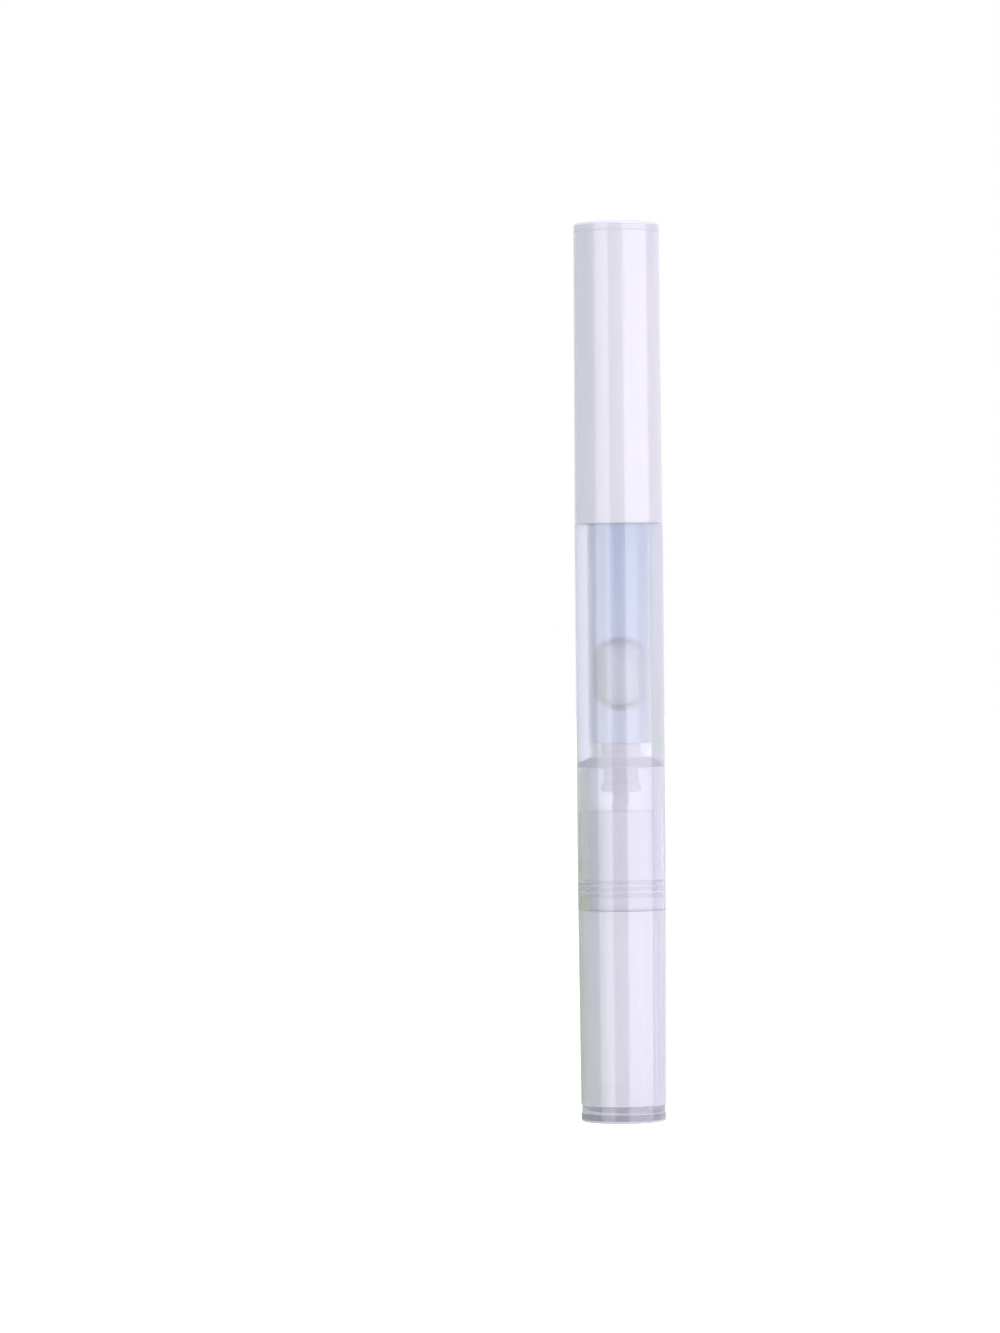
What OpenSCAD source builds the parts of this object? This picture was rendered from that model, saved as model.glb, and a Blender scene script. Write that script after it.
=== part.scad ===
// Nail oil pen. Turning the knob drives a screw rod and piston up the barrel,
// which feeds oil through a small tube to the brush under the cap.
// The pen stands on its end plug, +Z up, with the origin at the centre of its base.
// All lengths are in millimetres and all angles in degrees.

/* [Barrel] */
// Wall of the barrel round the bay that holds the mechanism
barrel_wall = 1.6; // [1.3:0.1:2.4]
// Length of the barrel from the knob's seam to the shoulder under the cap. The knob's
// length follows from it, because the knob holds the rod for the whole stroke.
barrel_len = 57; // [46:0.5:70]
// Diameter of the bore that holds the oil
reservoir_d = 6; // [5.4:0.1:6.8]
// Length of the cone that leads the piston from the bay into the bore
lead_in_len = 1.4; // [0.8:0.1:2]
// Step from the barrel down to the neck that the cap snaps over
neck_step = 1.2; // [1:0.05:1.3]
// Length of the neck
neck_len = 4.9; // [4.4:0.1:6]
// Diameter of the socket in the neck that takes the nozzle
socket_d = 8; // [7.4:0.1:8.6]
// Depth of that socket
socket_len = 2.3; // [2:0.1:2.8]
// Gap of the seam between barrel and knob
seam_gap = 0.2; // [0.1:0.05:0.4]

/* [Knob and end plug] */
// Diameter of the knob's bore at the bottom of its inner channels
knob_bore_d = 9.4; // [9.2:0.1:9.8]
// Number of ribs inside the knob
rib_count = 24; // [18:6:24]
// Height of those ribs
rib_h = 0.3; // [0.25:0.05:0.35]
// Width of the channels between the ribs
channel_w = 0.7; // [0.6:0.05:0.9]
// Step from the knob's bore out to the counterbore for the drive sleeve's flange
counterbore_step = 0.7; // [0.4:0.05:0.9]
// How far the radius narrows from the seams to the pen's two ends
draft = 0.18; // [0.05:0.01:0.3]
// Thickness of the end plug's flange
plug_flange_h = 1.4; // [1:0.1:2]
// Height of the groove between the end plug's flange and the knob
plug_groove_h = 1.1; // [0.6:0.1:1.6]
// Length of the end plug's spigot inside the knob
plug_spigot_len = 2.8; // [2:0.1:4]

/* [Drive] */
// Gap between the drive sleeve and the tips of the knob's ribs
sleeve_gap = 0.2; // [0.1:0.05:0.4]
// Gap round the rod's stop in the drive sleeve's bore
stop_room = 0.4; // [0.2:0.05:0.6]
// Wall of the drive sleeve under the flats of its head
head_wall = 0.3; // [0.25:0.05:0.5]
// Thickness of the keyed web that turns the screw rod
web_t = 1.6; // [1:0.1:2.2]
// Length of the rear bush
bush_len = 7; // [6:0.5:8]
// Wall of the rear bush round the drive sleeve's neck
bush_wall = 1.4; // [1:0.1:1.8]
// Length of the ratchet ring
ratchet_len = 4.2; // [3.8:0.1:4.6]
// Wall of the ratchet ring behind its teeth
ratchet_wall = 0.5; // [0.4:0.05:0.8]
// Thickness of the click ring's two spring arms
arm_t = 0.35; // [0.25:0.05:0.5]
// Height of the ratchet's teeth
tooth_h = 0.3; // [0.2:0.05:0.4]
// Number of ratchet teeth
tooth_count = 20; // [12:2:30]
// Length of the thread nut
nut_len = 3.3; // [2.4:0.1:4]
// Free length between the thread nut and the piston when the pen is full
nut_gap = 2.9; // [1:0.1:5]

/* [Screw rod and piston] */
// Diameter over the rod's thread
thread_d = 2.9; // [2.6:0.1:3.2]
// Pitch of the rod's thread, which is what one turn feeds
thread_pitch = 3; // [2:0.5:4]
// Size across the rod's two flats
rod_flats = 1.84; // [1.6:0.02:2]
// Length of the piston
piston_len = 7.2; // [6.2:0.1:8]
// How far the piston stands in the reservoir when the pen is full
piston_engage = 2.1; // [1.6:0.1:3]
// Free length between the end plug's floor and the rod when the pen is full
rod_room = 3.6; // [1:0.1:8]

/* [Nozzle and brush] */
// How far the nozzle's base stands back from the edge of the neck
nozzle_base_step = 0.2; // [0.1:0.05:0.5]
// Thickness of that base
nozzle_base_h = 1; // [0.8:0.1:1.6]
// Diameter of the nozzle's body, which the cap liner closes on
nozzle_body_d = 8; // [7.4:0.1:8.6]
// Length of the nozzle's body
nozzle_body_len = 8.7; // [7:0.1:9.5]
// Length of the nozzle's cone
nozzle_cone_len = 6.5; // [5:0.1:7]
// Diameter of the cone's tip
nozzle_tip_d = 4.8; // [4.2:0.1:5.4]
// Outer diameter of the sleeve that holds the brush
ferrule_d = 3.5; // [3.3:0.05:3.8]
// Length of that sleeve
ferrule_len = 7; // [6:0.1:8]
// Length of the brush beyond its sleeve
tuft_reach = 10.5; // [8:0.5:12]
// Outer diameter of the feed tube
feed_d = 1; // [0.8:0.05:1.05]
// Bore of the feed tube
feed_bore_d = 0.6; // [0.4:0.05:0.6]

/* [Cap] */
// Free length over the brush inside the cap
tip_room = 6.3; // [2:0.1:12]
// Gap between the cap's rim and the barrel's shoulder
cap_gap = 0.1; // [0.05:0.05:0.3]
// Wall of the cap liner
liner_wall = 0.7; // [0.5:0.1:1]
// How far the cap liner reaches down over the nozzle's body
liner_seal_len = 1.5; // [1:0.1:2.5]
// Height of the cap liner's two collars
liner_collar_h = 1.9; // [1:0.1:2.5]
// Thickness of the disc that closes the cap
cap_top_h = 1.3; // [1:0.1:2]
// Length of that disc's spigot inside the cap
cap_spigot_len = 2; // [1.5:0.1:2.5]

/* [Hidden] */
$fn = 96;

// Fits and small finishing sizes that all the pieces share
press_gap = 0.03;
slip = 0.1;
cut = 1;
edge_r = 0.4;
quarter_steps = 4;
seam_chamfer = 0.12;
seam_step = 0.04;

// Barrel
reservoir_r = reservoir_d / 2;
socket_r = socket_d / 2;
bead_h = 0.1;
bead_w = 0.8;
bead_drop = 2.3;
barb_count = 3;
barb_first = 2;
barb_step = 0.95;
barb_w = 0.4;
barb_h = 0.16;
keyway_w = 1.2;
keyway_h = 0.4;
keyway_turns = [0, 180];

// Knob and end plug
knob_bore_r = knob_bore_d / 2;
rib_tip_r = knob_bore_r - rib_h;
counterbore_r = knob_bore_r + counterbore_step;
plug_wall = 0.9;
plug_groove_depth = 0.12;
plug_bead_h = 0.12;
plug_bead_w = 0.6;
plug_bead_share = 0.5;

// Drive
sleeve_r = rib_tip_r - sleeve_gap;
sleeve_flange_t = 0.8;
sleeve_float = 0.3;
sleeve_key_count = 6;
head_flat_depth = 0.3;
head_bead_h = 0.12;
head_bead_len = 0.5;
web_gap = 0.2;
bush_relief_share = 0.5;
bush_relief_depth = 0.25;
click_gap = 0.1;
click_hub_wall = 0.5;
arm_room = 0.2;
arm_angle = 110;
arm_root_angle = 22;
arm_tip_angle = 7;
arm_turns = [0, 180];

// Screw rod and piston
thread_ecc = 0.2;
thread_gap = 0.13;
rod_sides = 12;
slices_per_turn = 8;
nut_sides = 16;
stop_lip = 0.45;
stop_h = 1;
stop_gap = 0.3;
rod_neck_r = 0.9;
rod_tip_r = 1.3;
rod_tip_h = 1.2;
rod_tip_share = 0.6;
lip_gap = 0.04;
lip_len = 1.2;
lip_edge = 0.2;
lip_depth = 0.36;
piston_face_t = 2.5;
thread_in_piston = 0.6;
mouth_len = 1.7;
stroke_gap = 0.5;
liquid_gap = 0.02;

// Nozzle and brush
feed_r = feed_d / 2;
feed_bore_r = feed_bore_d / 2;
ferrule_r = ferrule_d / 2;
ferrule_wall = 0.35;
ferrule_seat = 5;
crimp_depth = 0.08;
crimp_w = 0.6;
crimp_drop = 1.6;
seal_flange_t = 1;
seal_stem_d = 3.2;
seal_stem_len = 4;
feed_inset = 0.5;
feed_reach = 1.5;
core_wall_share = 0.34;
core_roof = 1.5;
cone_step = 0.3;
tuft_r = ferrule_r - ferrule_wall - slip / 2;
tuft_hole_r = feed_r + 0.8 * slip;
slice_t = 0.7;
belly_rise = 3.5;
belly_share = 1.25;
point_share = 0.15;
tip_drop = 3;
pair_count = 6;
strand_sides = 3;
strand_size = 2 * strand_sides + 1;

// Cap
cap_fit = 0.2;
bead_room = 0.08;
rim_relief = 0.15;
liner_bore_r = nozzle_body_d / 2 + slip;
liner_roof_t = 1.2;
spigot_wall = 0.9;
spigot_gap = 0.2;

// Radii of the drive, from the rod's thread out to the barrel
thread_r = thread_d / 2;
thread_core_r = thread_r - thread_ecc;
mouth_r = thread_r + 1.5 * slip;
stop_r = thread_r + stop_lip;
sleeve_bore_r = stop_r + stop_room;
head_flat = sleeve_bore_r + head_wall;
sleeve_head_r = head_flat + head_flat_depth;
hub_r = sleeve_head_r + click_hub_wall;
arm_r = hub_r + arm_room + arm_t;
pawl_r = arm_r + tooth_h / 2;
crest_r = pawl_r + slip;
root_r = crest_r + tooth_h;
bay_r = root_r + ratchet_wall;
bush_bore_r = bay_r - bush_wall;
sleeve_neck_r = bush_bore_r - slip;
barrel_r = bay_r + barrel_wall;

// Radii that follow the barrel
seam_r = barrel_r - seam_step;
end_r = seam_r - draft;
neck_r = barrel_r - neck_step;
cap_bore_r = neck_r + cap_fit;

// The bay holds the bush, ratchet ring, nut and the piston's rear. The bore past it is the stroke.
bay_len = bush_len + ratchet_len + nut_len + nut_gap + piston_len - piston_engage;
stroke = barrel_len + neck_len - socket_len - bay_len - piston_engage - stroke_gap;

// Heights of the stack, from the base up
knob_z = plug_flange_h + plug_groove_h;
plug_top = knob_z + plug_spigot_len;
sleeve_z = plug_top + sleeve_float;
rod_z = plug_flange_h + rod_room;
web_z = rod_z + stop_h + stroke + stop_gap;
sleeve_top = web_z + web_t;
nut_z = sleeve_top + web_gap;
nut_top = nut_z + nut_len;
bush_top = nut_z - ratchet_len;
barrel_z = bush_top - bush_len;
knob_top = barrel_z - seam_gap;
sleeve_flange_z = knob_top - sleeve_flange_t - slip;
click_z = bush_top + click_gap;
click_len = sleeve_top - head_bead_len - slip - click_z;
shoulder_z = barrel_z + barrel_len;
neck_top = shoulder_z + neck_len;
reservoir_top = neck_top - socket_len;
bay_top = barrel_z + bay_len;
piston_top = bay_top + piston_engage;
piston_z = piston_top - piston_len;
oil_z = piston_top + liquid_gap;
thread_top = piston_z + thread_in_piston;
rod_tip_z = piston_top - piston_face_t - slip - rod_tip_h;
seal_z = reservoir_top + seal_flange_t;
nozzle_body_z = neck_top + nozzle_base_h;
nozzle_body_top = nozzle_body_z + nozzle_body_len;
nozzle_top = nozzle_body_top + nozzle_cone_len;
ferrule_z = nozzle_top - ferrule_seat;
ferrule_top = ferrule_z + ferrule_len;
belly_z = ferrule_top + belly_rise;
tuft_top = ferrule_top + tuft_reach;
cap_z = shoulder_z + cap_gap;
liner_z = nozzle_body_top - liner_seal_len;
liner_top = tuft_top + tip_room + liner_roof_t;
cap_end = liner_top + spigot_gap + cap_spigot_len;
pen_top = cap_end + cap_top_h;

echo(pen_length = pen_top, pen_diameter = 2 * barrel_r);
echo(knob_length = knob_top - knob_z, cap_length = cap_end - cap_z);
echo(stroke = stroke, turns = stroke / thread_pitch);

// Points of a quarter round in an outline, centred on [r, z]
function quarter(r, z, size, from) =
    [for (i = [0 : quarter_steps])
        let (a = from + 90 * i / quarter_steps)
        [r + size * cos(a), z + size * sin(a)]];

// Points of a square groove or rib in an outline that runs up a wall of radius r
function step_up(r, depth, z, w) = [[r, z], [r + depth, z], [r + depth, z + w], [r, z + w]];

// Points of a rounded bead in an outline that runs up a wall of radius r
function bead_up(r, h, z, w) = [[r, z - w / 2], [r + h, z - w / 6], [r + h, z + w / 6], [r, z + w / 2]];

// The same points for an outline that runs down the wall
function down(points) = [for (i = [len(points) - 1 : -1 : 0]) points[i]];

// Two square keys that stop a ring turning in the barrel's keyways
module keys(z, h) {
    for (a = keyway_turns)
        rotate(a)
            translate([bay_r - keyway_h, -keyway_w / 2 + slip, z])
                cube([2 * keyway_h - slip, keyway_w - 2 * slip, h]);
}

// A round hole with two flats
module flatted(r, half_flat, z, h) {
    intersection() {
        translate([0, 0, z])
            cylinder(r = r, h = h);
        translate([-r - cut, -half_flat, z])
            cube([2 * (r + cut), 2 * half_flat, h]);
    }
}

// One ring of the knuckle thread: a circle whose centre goes round the axis, between two flats
function thread_ring(z, r, ecc, half_flat, sides) =
    let (turn = 360 * z / thread_pitch)
    [for (i = [0 : sides - 1])
        let (a = 360 * i / sides)
        [
            ecc * cos(turn) + r * cos(a),
            max(-half_flat, min(half_flat, ecc * sin(turn) + r * sin(a))),
            z
        ]];

// Faces of a solid lofted through rings of equal count, closed at both ends
function loft_faces(rings, sides) = concat(
    [for (i = [1 : sides - 2]) [0, i, i + 1]],
    [for (k = [0 : rings - 2], i = [0 : sides - 1])
        let (a = k * sides + i, b = k * sides + (i + 1) % sides)
        each [[a, a + sides, b + sides], [a, b + sides, b]]],
    [for (i = [1 : sides - 2]) [(rings - 1) * sides, (rings - 1) * sides + i + 1, (rings - 1) * sides + i]]
);

module loft(rings) {
    polyhedron(
        points = [for (ring = rings) each ring],
        faces = loft_faces(len(rings), len(rings[0])),
        convexity = 10
    );
}

module end_plug() {
    flange_r = end_r - seam_step;
    spigot_r = knob_bore_r - press_gap;
    bead_z = knob_z + plug_bead_share * plug_spigot_len;
    color("#c9c6d8")
        rotate_extrude()
            polygon(concat(
                [[0, 0]],
                quarter(flange_r - edge_r, edge_r, edge_r, -90),
                [
                    [flange_r, plug_flange_h],
                    [flange_r - plug_groove_depth, plug_flange_h],
                    [flange_r - plug_groove_depth, knob_z],
                    [spigot_r, knob_z]
                ],
                bead_up(spigot_r, plug_bead_h, bead_z, plug_bead_w),
                [
                    [spigot_r, plug_top],
                    [spigot_r - plug_wall, plug_top],
                    [spigot_r - plug_wall, plug_flange_h],
                    [0, plug_flange_h]
                ]
            ));
}

module knob() {
    bead_z = knob_z + plug_bead_share * plug_spigot_len;
    floor_z = sleeve_flange_z;
    color("#e4e1f4")
        difference() {
            rotate_extrude()
                polygon(concat(
                    [[knob_bore_r, knob_z], [end_r - seam_chamfer, knob_z], [end_r, knob_z + seam_chamfer]],
                    [[seam_r, knob_top - seam_chamfer], [seam_r - seam_chamfer, knob_top]],
                    [[counterbore_r, knob_top], [counterbore_r, floor_z], [rib_tip_r, floor_z]],
                    [[rib_tip_r, plug_top], [knob_bore_r, plug_top]],
                    down(bead_up(knob_bore_r, plug_bead_h, bead_z, plug_bead_w))
                ));
            for (i = [0 : rib_count - 1])
                rotate(360 * i / rib_count)
                    translate([rib_tip_r - rib_h, -channel_w / 2, plug_top - cut])
                        cube([2 * rib_h, channel_w, floor_z - plug_top + 2 * cut]);
        }
}

module drive_sleeve() {
    key_w = channel_w - 2 * slip;
    key_tip_r = knob_bore_r - slip;
    key_z = sleeve_z + edge_r;
    flange_r = counterbore_r - slip;
    neck_z = sleeve_flange_z + sleeve_flange_t;
    head_z = bush_top + slip / 2;
    bead_z = sleeve_top - head_bead_len;
    color("#efeef4")
        difference() {
            union() {
                rotate_extrude()
                    polygon([
                        [sleeve_bore_r, sleeve_z],
                        [sleeve_r, sleeve_z],
                        [sleeve_r, sleeve_flange_z],
                        [flange_r, sleeve_flange_z],
                        [flange_r, neck_z],
                        [sleeve_neck_r, neck_z],
                        [sleeve_neck_r, head_z],
                        [sleeve_head_r, head_z],
                        [sleeve_head_r, bead_z],
                        [sleeve_head_r + head_bead_h, bead_z],
                        [sleeve_head_r, sleeve_top],
                        [0, sleeve_top],
                        [0, web_z],
                        [sleeve_bore_r, web_z]
                    ]);
                for (i = [0 : sleeve_key_count - 1])
                    rotate(360 * i / sleeve_key_count)
                        translate([sleeve_r - rib_h, -key_w / 2, key_z])
                            cube([key_tip_r - sleeve_r + rib_h, key_w, sleeve_flange_z - key_z]);
            }
            flatted(thread_r + slip, rod_flats / 2 + slip, web_z - cut, web_t + 2 * cut);
            for (side = [0, 180])
                rotate(side)
                    translate([-sleeve_head_r, head_flat, head_z])
                        cube([2 * sleeve_head_r, sleeve_head_r, bead_z - head_z]);
        }
}

module click_ring() {
    color("#d9d9e2")
        difference() {
            translate([0, 0, click_z])
                linear_extrude(click_len) {
                    circle(r = hub_r);
                    for (a = arm_turns)
                        rotate(a) {
                            arc_band(hub_r - click_hub_wall / 2, arm_r, 0, arm_root_angle);
                            arc_band(arm_r - arm_t, arm_r, 0, arm_angle);
                            arc_band(arm_r - arm_t, pawl_r, arm_angle - arm_tip_angle, arm_angle);
                        }
                }
            flatted(sleeve_head_r + press_gap, head_flat + press_gap, click_z - cut, click_len + 2 * cut);
        }
}

// A flat piece of a ring between two radii and two angles under 150 degrees apart
module arc_band(r1, r2, a1, a2) {
    far = 4 * r2;
    intersection() {
        difference() {
            circle(r = r2);
            circle(r = r1);
        }
        polygon([[0, 0], for (a = [a1, (a1 + a2) / 2, a2]) far * [cos(a), sin(a)]]);
    }
}

module rear_bush() {
    outer_r = bay_r - press_gap;
    relief_len = bush_relief_share * bush_len;
    relief_z = barrel_z + (bush_len - relief_len) / 2;
    color("#dcdbe6") {
        rotate_extrude()
            polygon(concat(
                [[bush_bore_r, barrel_z], [outer_r, barrel_z]],
                [for (i = [0 : barb_count - 1])
                    each step_up(outer_r, barb_h, barrel_z + barb_first + barb_step * i, barb_w)],
                [[outer_r, bush_top], [bush_bore_r, bush_top]],
                down(step_up(bush_bore_r, bush_relief_depth, relief_z, relief_len))
            ));
        keys(bush_top - keyway_w, keyway_w);
    }
}

module ratchet_ring() {
    tooth = 360 / tooth_count;
    color("#cfd0dc")
        difference() {
            union() {
                translate([0, 0, bush_top])
                    cylinder(r = bay_r - press_gap, h = ratchet_len);
                keys(bush_top, ratchet_len);
            }
            translate([0, 0, bush_top - cut])
                linear_extrude(ratchet_len + 2 * cut)
                    polygon([for (i = [0 : tooth_count - 1])
                        each [
                            root_r * [cos(tooth * i), sin(tooth * i)],
                            crest_r * [cos(tooth * (i + 1)), sin(tooth * (i + 1))]
                        ]]);
        }
}

module thread_nut() {
    hole_r = thread_core_r + thread_gap;
    step = thread_pitch / nut_sides;
    from = nut_z - step;
    rings = ceil(nut_len / step) + 3;
    color("#c4c6d6")
        difference() {
            union() {
                translate([0, 0, nut_z])
                    cylinder(r = bay_r - press_gap, h = nut_len);
                keys(nut_z, nut_len);
            }
            loft([for (k = [0 : rings - 1])
                thread_ring(from + step * k, hole_r, thread_ecc, thread_d, nut_sides)]);
        }
}

module screw_rod() {
    thread_z = rod_z + stop_h;
    slices = ceil((thread_top - thread_z) / thread_pitch * slices_per_turn);
    step = (thread_top - thread_z) / slices;
    half_flat = rod_flats / 2;
    tip_top = rod_tip_z + rod_tip_h;
    color("#f2f1f6")
        loft(concat(
            [for (z = [rod_z, thread_z]) thread_ring(z, stop_r, 0, stop_r, rod_sides)],
            [for (k = [0 : slices])
                thread_ring(thread_z + step * k, thread_core_r, thread_ecc, half_flat, rod_sides)],
            [for (z = [thread_top, rod_tip_z]) thread_ring(z, rod_neck_r, 0, stop_r, rod_sides)],
            [for (z = [rod_tip_z, rod_tip_z + rod_tip_share * rod_tip_h])
                thread_ring(z, rod_tip_r, 0, stop_r, rod_sides)],
            [thread_ring(tip_top, rod_neck_r, 0, stop_r, rod_sides)]
        ));
}

module piston() {
    lip_r = reservoir_r - lip_gap;
    waist_r = lip_r - lip_depth;
    room_r = rod_tip_r + slip;
    throat_r = rod_neck_r + slip;
    room_top = rod_tip_z + rod_tip_h + slip;
    room_z = rod_tip_z - slip;
    color("#f5f4f8")
        rotate_extrude()
            polygon([
                [mouth_r, piston_z],
                [lip_r - lip_edge, piston_z],
                [lip_r, piston_z + lip_edge],
                [lip_r, piston_z + lip_len],
                [waist_r, piston_z + lip_len],
                [waist_r, piston_top - 3 * lip_len],
                [lip_r - lip_edge, piston_top - 3 * lip_len],
                [lip_r - lip_edge, piston_top - 2 * lip_len],
                [waist_r, piston_top - 2 * lip_len],
                [waist_r, piston_top - lip_len],
                [lip_r, piston_top - lip_len],
                [lip_r, piston_top - lip_edge],
                [lip_r - lip_edge, piston_top],
                [0, piston_top],
                [0, room_top],
                [room_r, room_top],
                [room_r, room_z],
                [throat_r, room_z],
                [throat_r, piston_z + mouth_len],
                [mouth_r, piston_z + mouth_len]
            ]);
}

module oil_fill() {
    color("#b7c4ee")
        translate([0, 0, oil_z])
            cylinder(r = reservoir_r - liquid_gap, h = reservoir_top - liquid_gap - oil_z);
}

module barrel() {
    bead_z = neck_top - bead_drop;
    groove_r = barb_h + press_gap;
    color("#dfdff3")
        difference() {
            rotate_extrude()
                polygon(concat(
                    [[bay_r, barrel_z], [barrel_r - seam_chamfer, barrel_z]],
                    [[barrel_r, barrel_z + seam_chamfer], [barrel_r, shoulder_z - seam_chamfer]],
                    [[barrel_r - seam_chamfer, shoulder_z]],
                    [[neck_r, shoulder_z]],
                    bead_up(neck_r, bead_h, bead_z, bead_w),
                    [[neck_r, neck_top], [socket_r, neck_top], [socket_r, reservoir_top]],
                    [[reservoir_r, reservoir_top], [reservoir_r, bay_top], [bay_r, bay_top - lead_in_len]],
                    [for (i = [barb_count - 1 : -1 : 0])
                        each down(step_up(
                            bay_r, groove_r, barrel_z + barb_first + barb_step * i - press_gap,
                            barb_w + 2 * press_gap
                        ))]
                ));
            for (a = keyway_turns)
                rotate(a)
                    translate([bay_r - keyway_h, -keyway_w / 2, barrel_z - cut])
                        cube([2 * keyway_h, keyway_w, nut_top - barrel_z + cut + slip]);
        }
}

module nozzle_seal() {
    color("#e9edf6")
        rotate_extrude()
            polygon([
                [feed_r + press_gap, reservoir_top],
                [socket_r - slip, reservoir_top],
                [socket_r - slip, seal_z],
                [seal_stem_d / 2, seal_z],
                [seal_stem_d / 2, seal_z + seal_stem_len],
                [feed_r + press_gap, seal_z + seal_stem_len]
            ]);
}

module feed_tube() {
    color("#f4f4f8")
        translate([0, 0, reservoir_top + feed_inset])
            difference() {
                length = ferrule_top + feed_reach - reservoir_top - feed_inset;
                cylinder(r = feed_r, h = length);
                translate([0, 0, -cut])
                    cylinder(r = feed_bore_r, h = length + 2 * cut);
            }
}

module nozzle() {
    body_r = nozzle_body_d / 2;
    stem_r = seal_stem_d / 2 + press_gap;
    spigot_r = socket_r - press_gap;
    core_wall = core_wall_share * (spigot_r - stem_r);
    base_r = neck_r - nozzle_base_step;
    stem_top = seal_z + seal_stem_len + press_gap;
    core_top = nozzle_body_top - core_roof;
    color("#eceaf6")
        rotate_extrude()
            polygon(concat(
                [[stem_r, seal_z], [stem_r + core_wall, seal_z], [stem_r + core_wall, core_top]],
                [[spigot_r - core_wall, core_top], [spigot_r - core_wall, seal_z], [spigot_r, seal_z]],
                [[spigot_r, neck_top], [base_r, neck_top], [base_r, nozzle_body_z]],
                [[body_r, nozzle_body_z], [body_r, nozzle_body_top - cone_step]],
                [[body_r - cone_step, nozzle_body_top], [nozzle_tip_d / 2, nozzle_top]],
                [[ferrule_r + press_gap, nozzle_top], [ferrule_r + press_gap, ferrule_z]],
                [[feed_r + press_gap, ferrule_z], [feed_r + press_gap, stem_top], [stem_r, stem_top]]
            ));
}

module brush_ferrule() {
    bore_r = ferrule_r - ferrule_wall;
    crimp_z = ferrule_top - crimp_drop;
    lip = ferrule_wall / 3;
    color("#d5d7e2")
        rotate_extrude()
            polygon(concat(
                [[bore_r, ferrule_z], [ferrule_r, ferrule_z]],
                bead_up(ferrule_r, -crimp_depth, crimp_z, crimp_w),
                [[ferrule_r, ferrule_top - lip], [ferrule_r - lip, ferrule_top], [bore_r, ferrule_top]]
            ));
}

// The tuft stands on a disc whose rings come in pairs. Each pair has one count of
// points, and every third cell of it carries two strands, so no two strands touch.
ring_step = (tuft_r - tuft_hole_r) / (2 * pair_count - 1);
function ring_r(k) = tuft_hole_r + ring_step * k;
function pair_points(m) = 3 * round(2 * PI * ring_r(2 * m + 0.5) / (3 * ring_step));
function ring_points(k) = pair_points(floor(k / 2));
ring_counts = [for (k = [0 : 2 * pair_count - 1]) ring_points(k)];
ring_starts = [for (k = 0, s = 0; k < 2 * pair_count; s = s + ring_counts[k], k = k + 1) s];
last_ring = 2 * pair_count - 1;
disc_points = ring_starts[last_ring] + ring_counts[last_ring];
slice_top = ferrule_z + slice_t;

function disc_point(k, i, z) =
    let (a = 360 * (i + 0.5 * (k % 2)) / ring_counts[k])
    [ring_r(k) * cos(a), ring_r(k) * sin(a), z];
function disc_index(k, i) = ring_starts[k] + (i + ring_counts[k]) % ring_counts[k];

// The three corners of each strand's foot, as [ring, place] pairs
strand_feet = [for (m = [0 : pair_count - 1], i = [0 : 3 : pair_points(m) - 1])
    each [
        [[2 * m, i], [2 * m, i + 1], [2 * m + 1, i]],
        [[2 * m + 1, i + 2], [2 * m + 1, i + 1], [2 * m, i + 2]]
    ]];

// How wide the tuft is at a height past its belly, as a share of its width at the root
function spread_share(z) =
    belly_share + (point_share - belly_share) * (z - belly_z) / (tuft_top - belly_z);

// A strand's points above its foot: at the ferrule's mouth, at the belly and at its tip
function strand_points(foot) =
    let (
        corners = [for (f = foot) disc_point(f[0], f[1], 0)],
        centre = (corners[0] + corners[1] + corners[2]) / 3,
        out_share = norm(centre) / tuft_r,
        tip_z = tuft_top - tip_drop * out_share * out_share
    )
    concat(
        [for (c = corners) c + [0, 0, ferrule_top]],
        [for (c = corners) c - centre + belly_share * centre + [0, 0, belly_z]],
        [spread_share(tip_z) * centre + [0, 0, tip_z]]
    );

// A strand's faces, where first is the place of its first point above the foot
function strand_faces(foot, first) =
    let (
        feet = [for (f = foot) disc_index(f[0], f[1])],
        belly = first + strand_sides,
        tip = belly + strand_sides
    )
    [for (j = [0 : strand_sides - 1])
        let (n = (j + 1) % strand_sides)
        each [
            [feet[j], feet[n], first + n],
            [feet[j], first + n, first + j],
            [first + j, first + n, belly + n],
            [first + j, belly + n, belly + j],
            [belly + j, belly + n, tip]
        ]];

// Cells of the disc's top that carry no strand, within a pair and between two pairs
pair_cells = [for (m = [0 : pair_count - 1], i = [0 : pair_points(m) - 1])
    let (k = 2 * m)
    each concat(
        i % 3 == 0 ? [] : [[disc_index(k, i), disc_index(k, i + 1), disc_index(k + 1, i)]],
        i % 3 == 1 ? [] : [[disc_index(k + 1, i + 1), disc_index(k + 1, i), disc_index(k, i + 1)]]
    )];
function nearest(i, inner, outer) = round((i + 0.5) * inner / outer - 0.5);
function band_cells(k) =
    let (inner = ring_counts[k], outer = ring_counts[k + 1])
    [for (i = [0 : outer - 1])
        let (p = nearest(i, inner, outer), q = nearest(i - 1, inner, outer))
        each concat(
            [[disc_index(k + 1, i + 1), disc_index(k + 1, i), disc_index(k, p)]],
            p == q ? [] : [[disc_index(k, q), disc_index(k, p), disc_index(k + 1, i)]]
        )];

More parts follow.
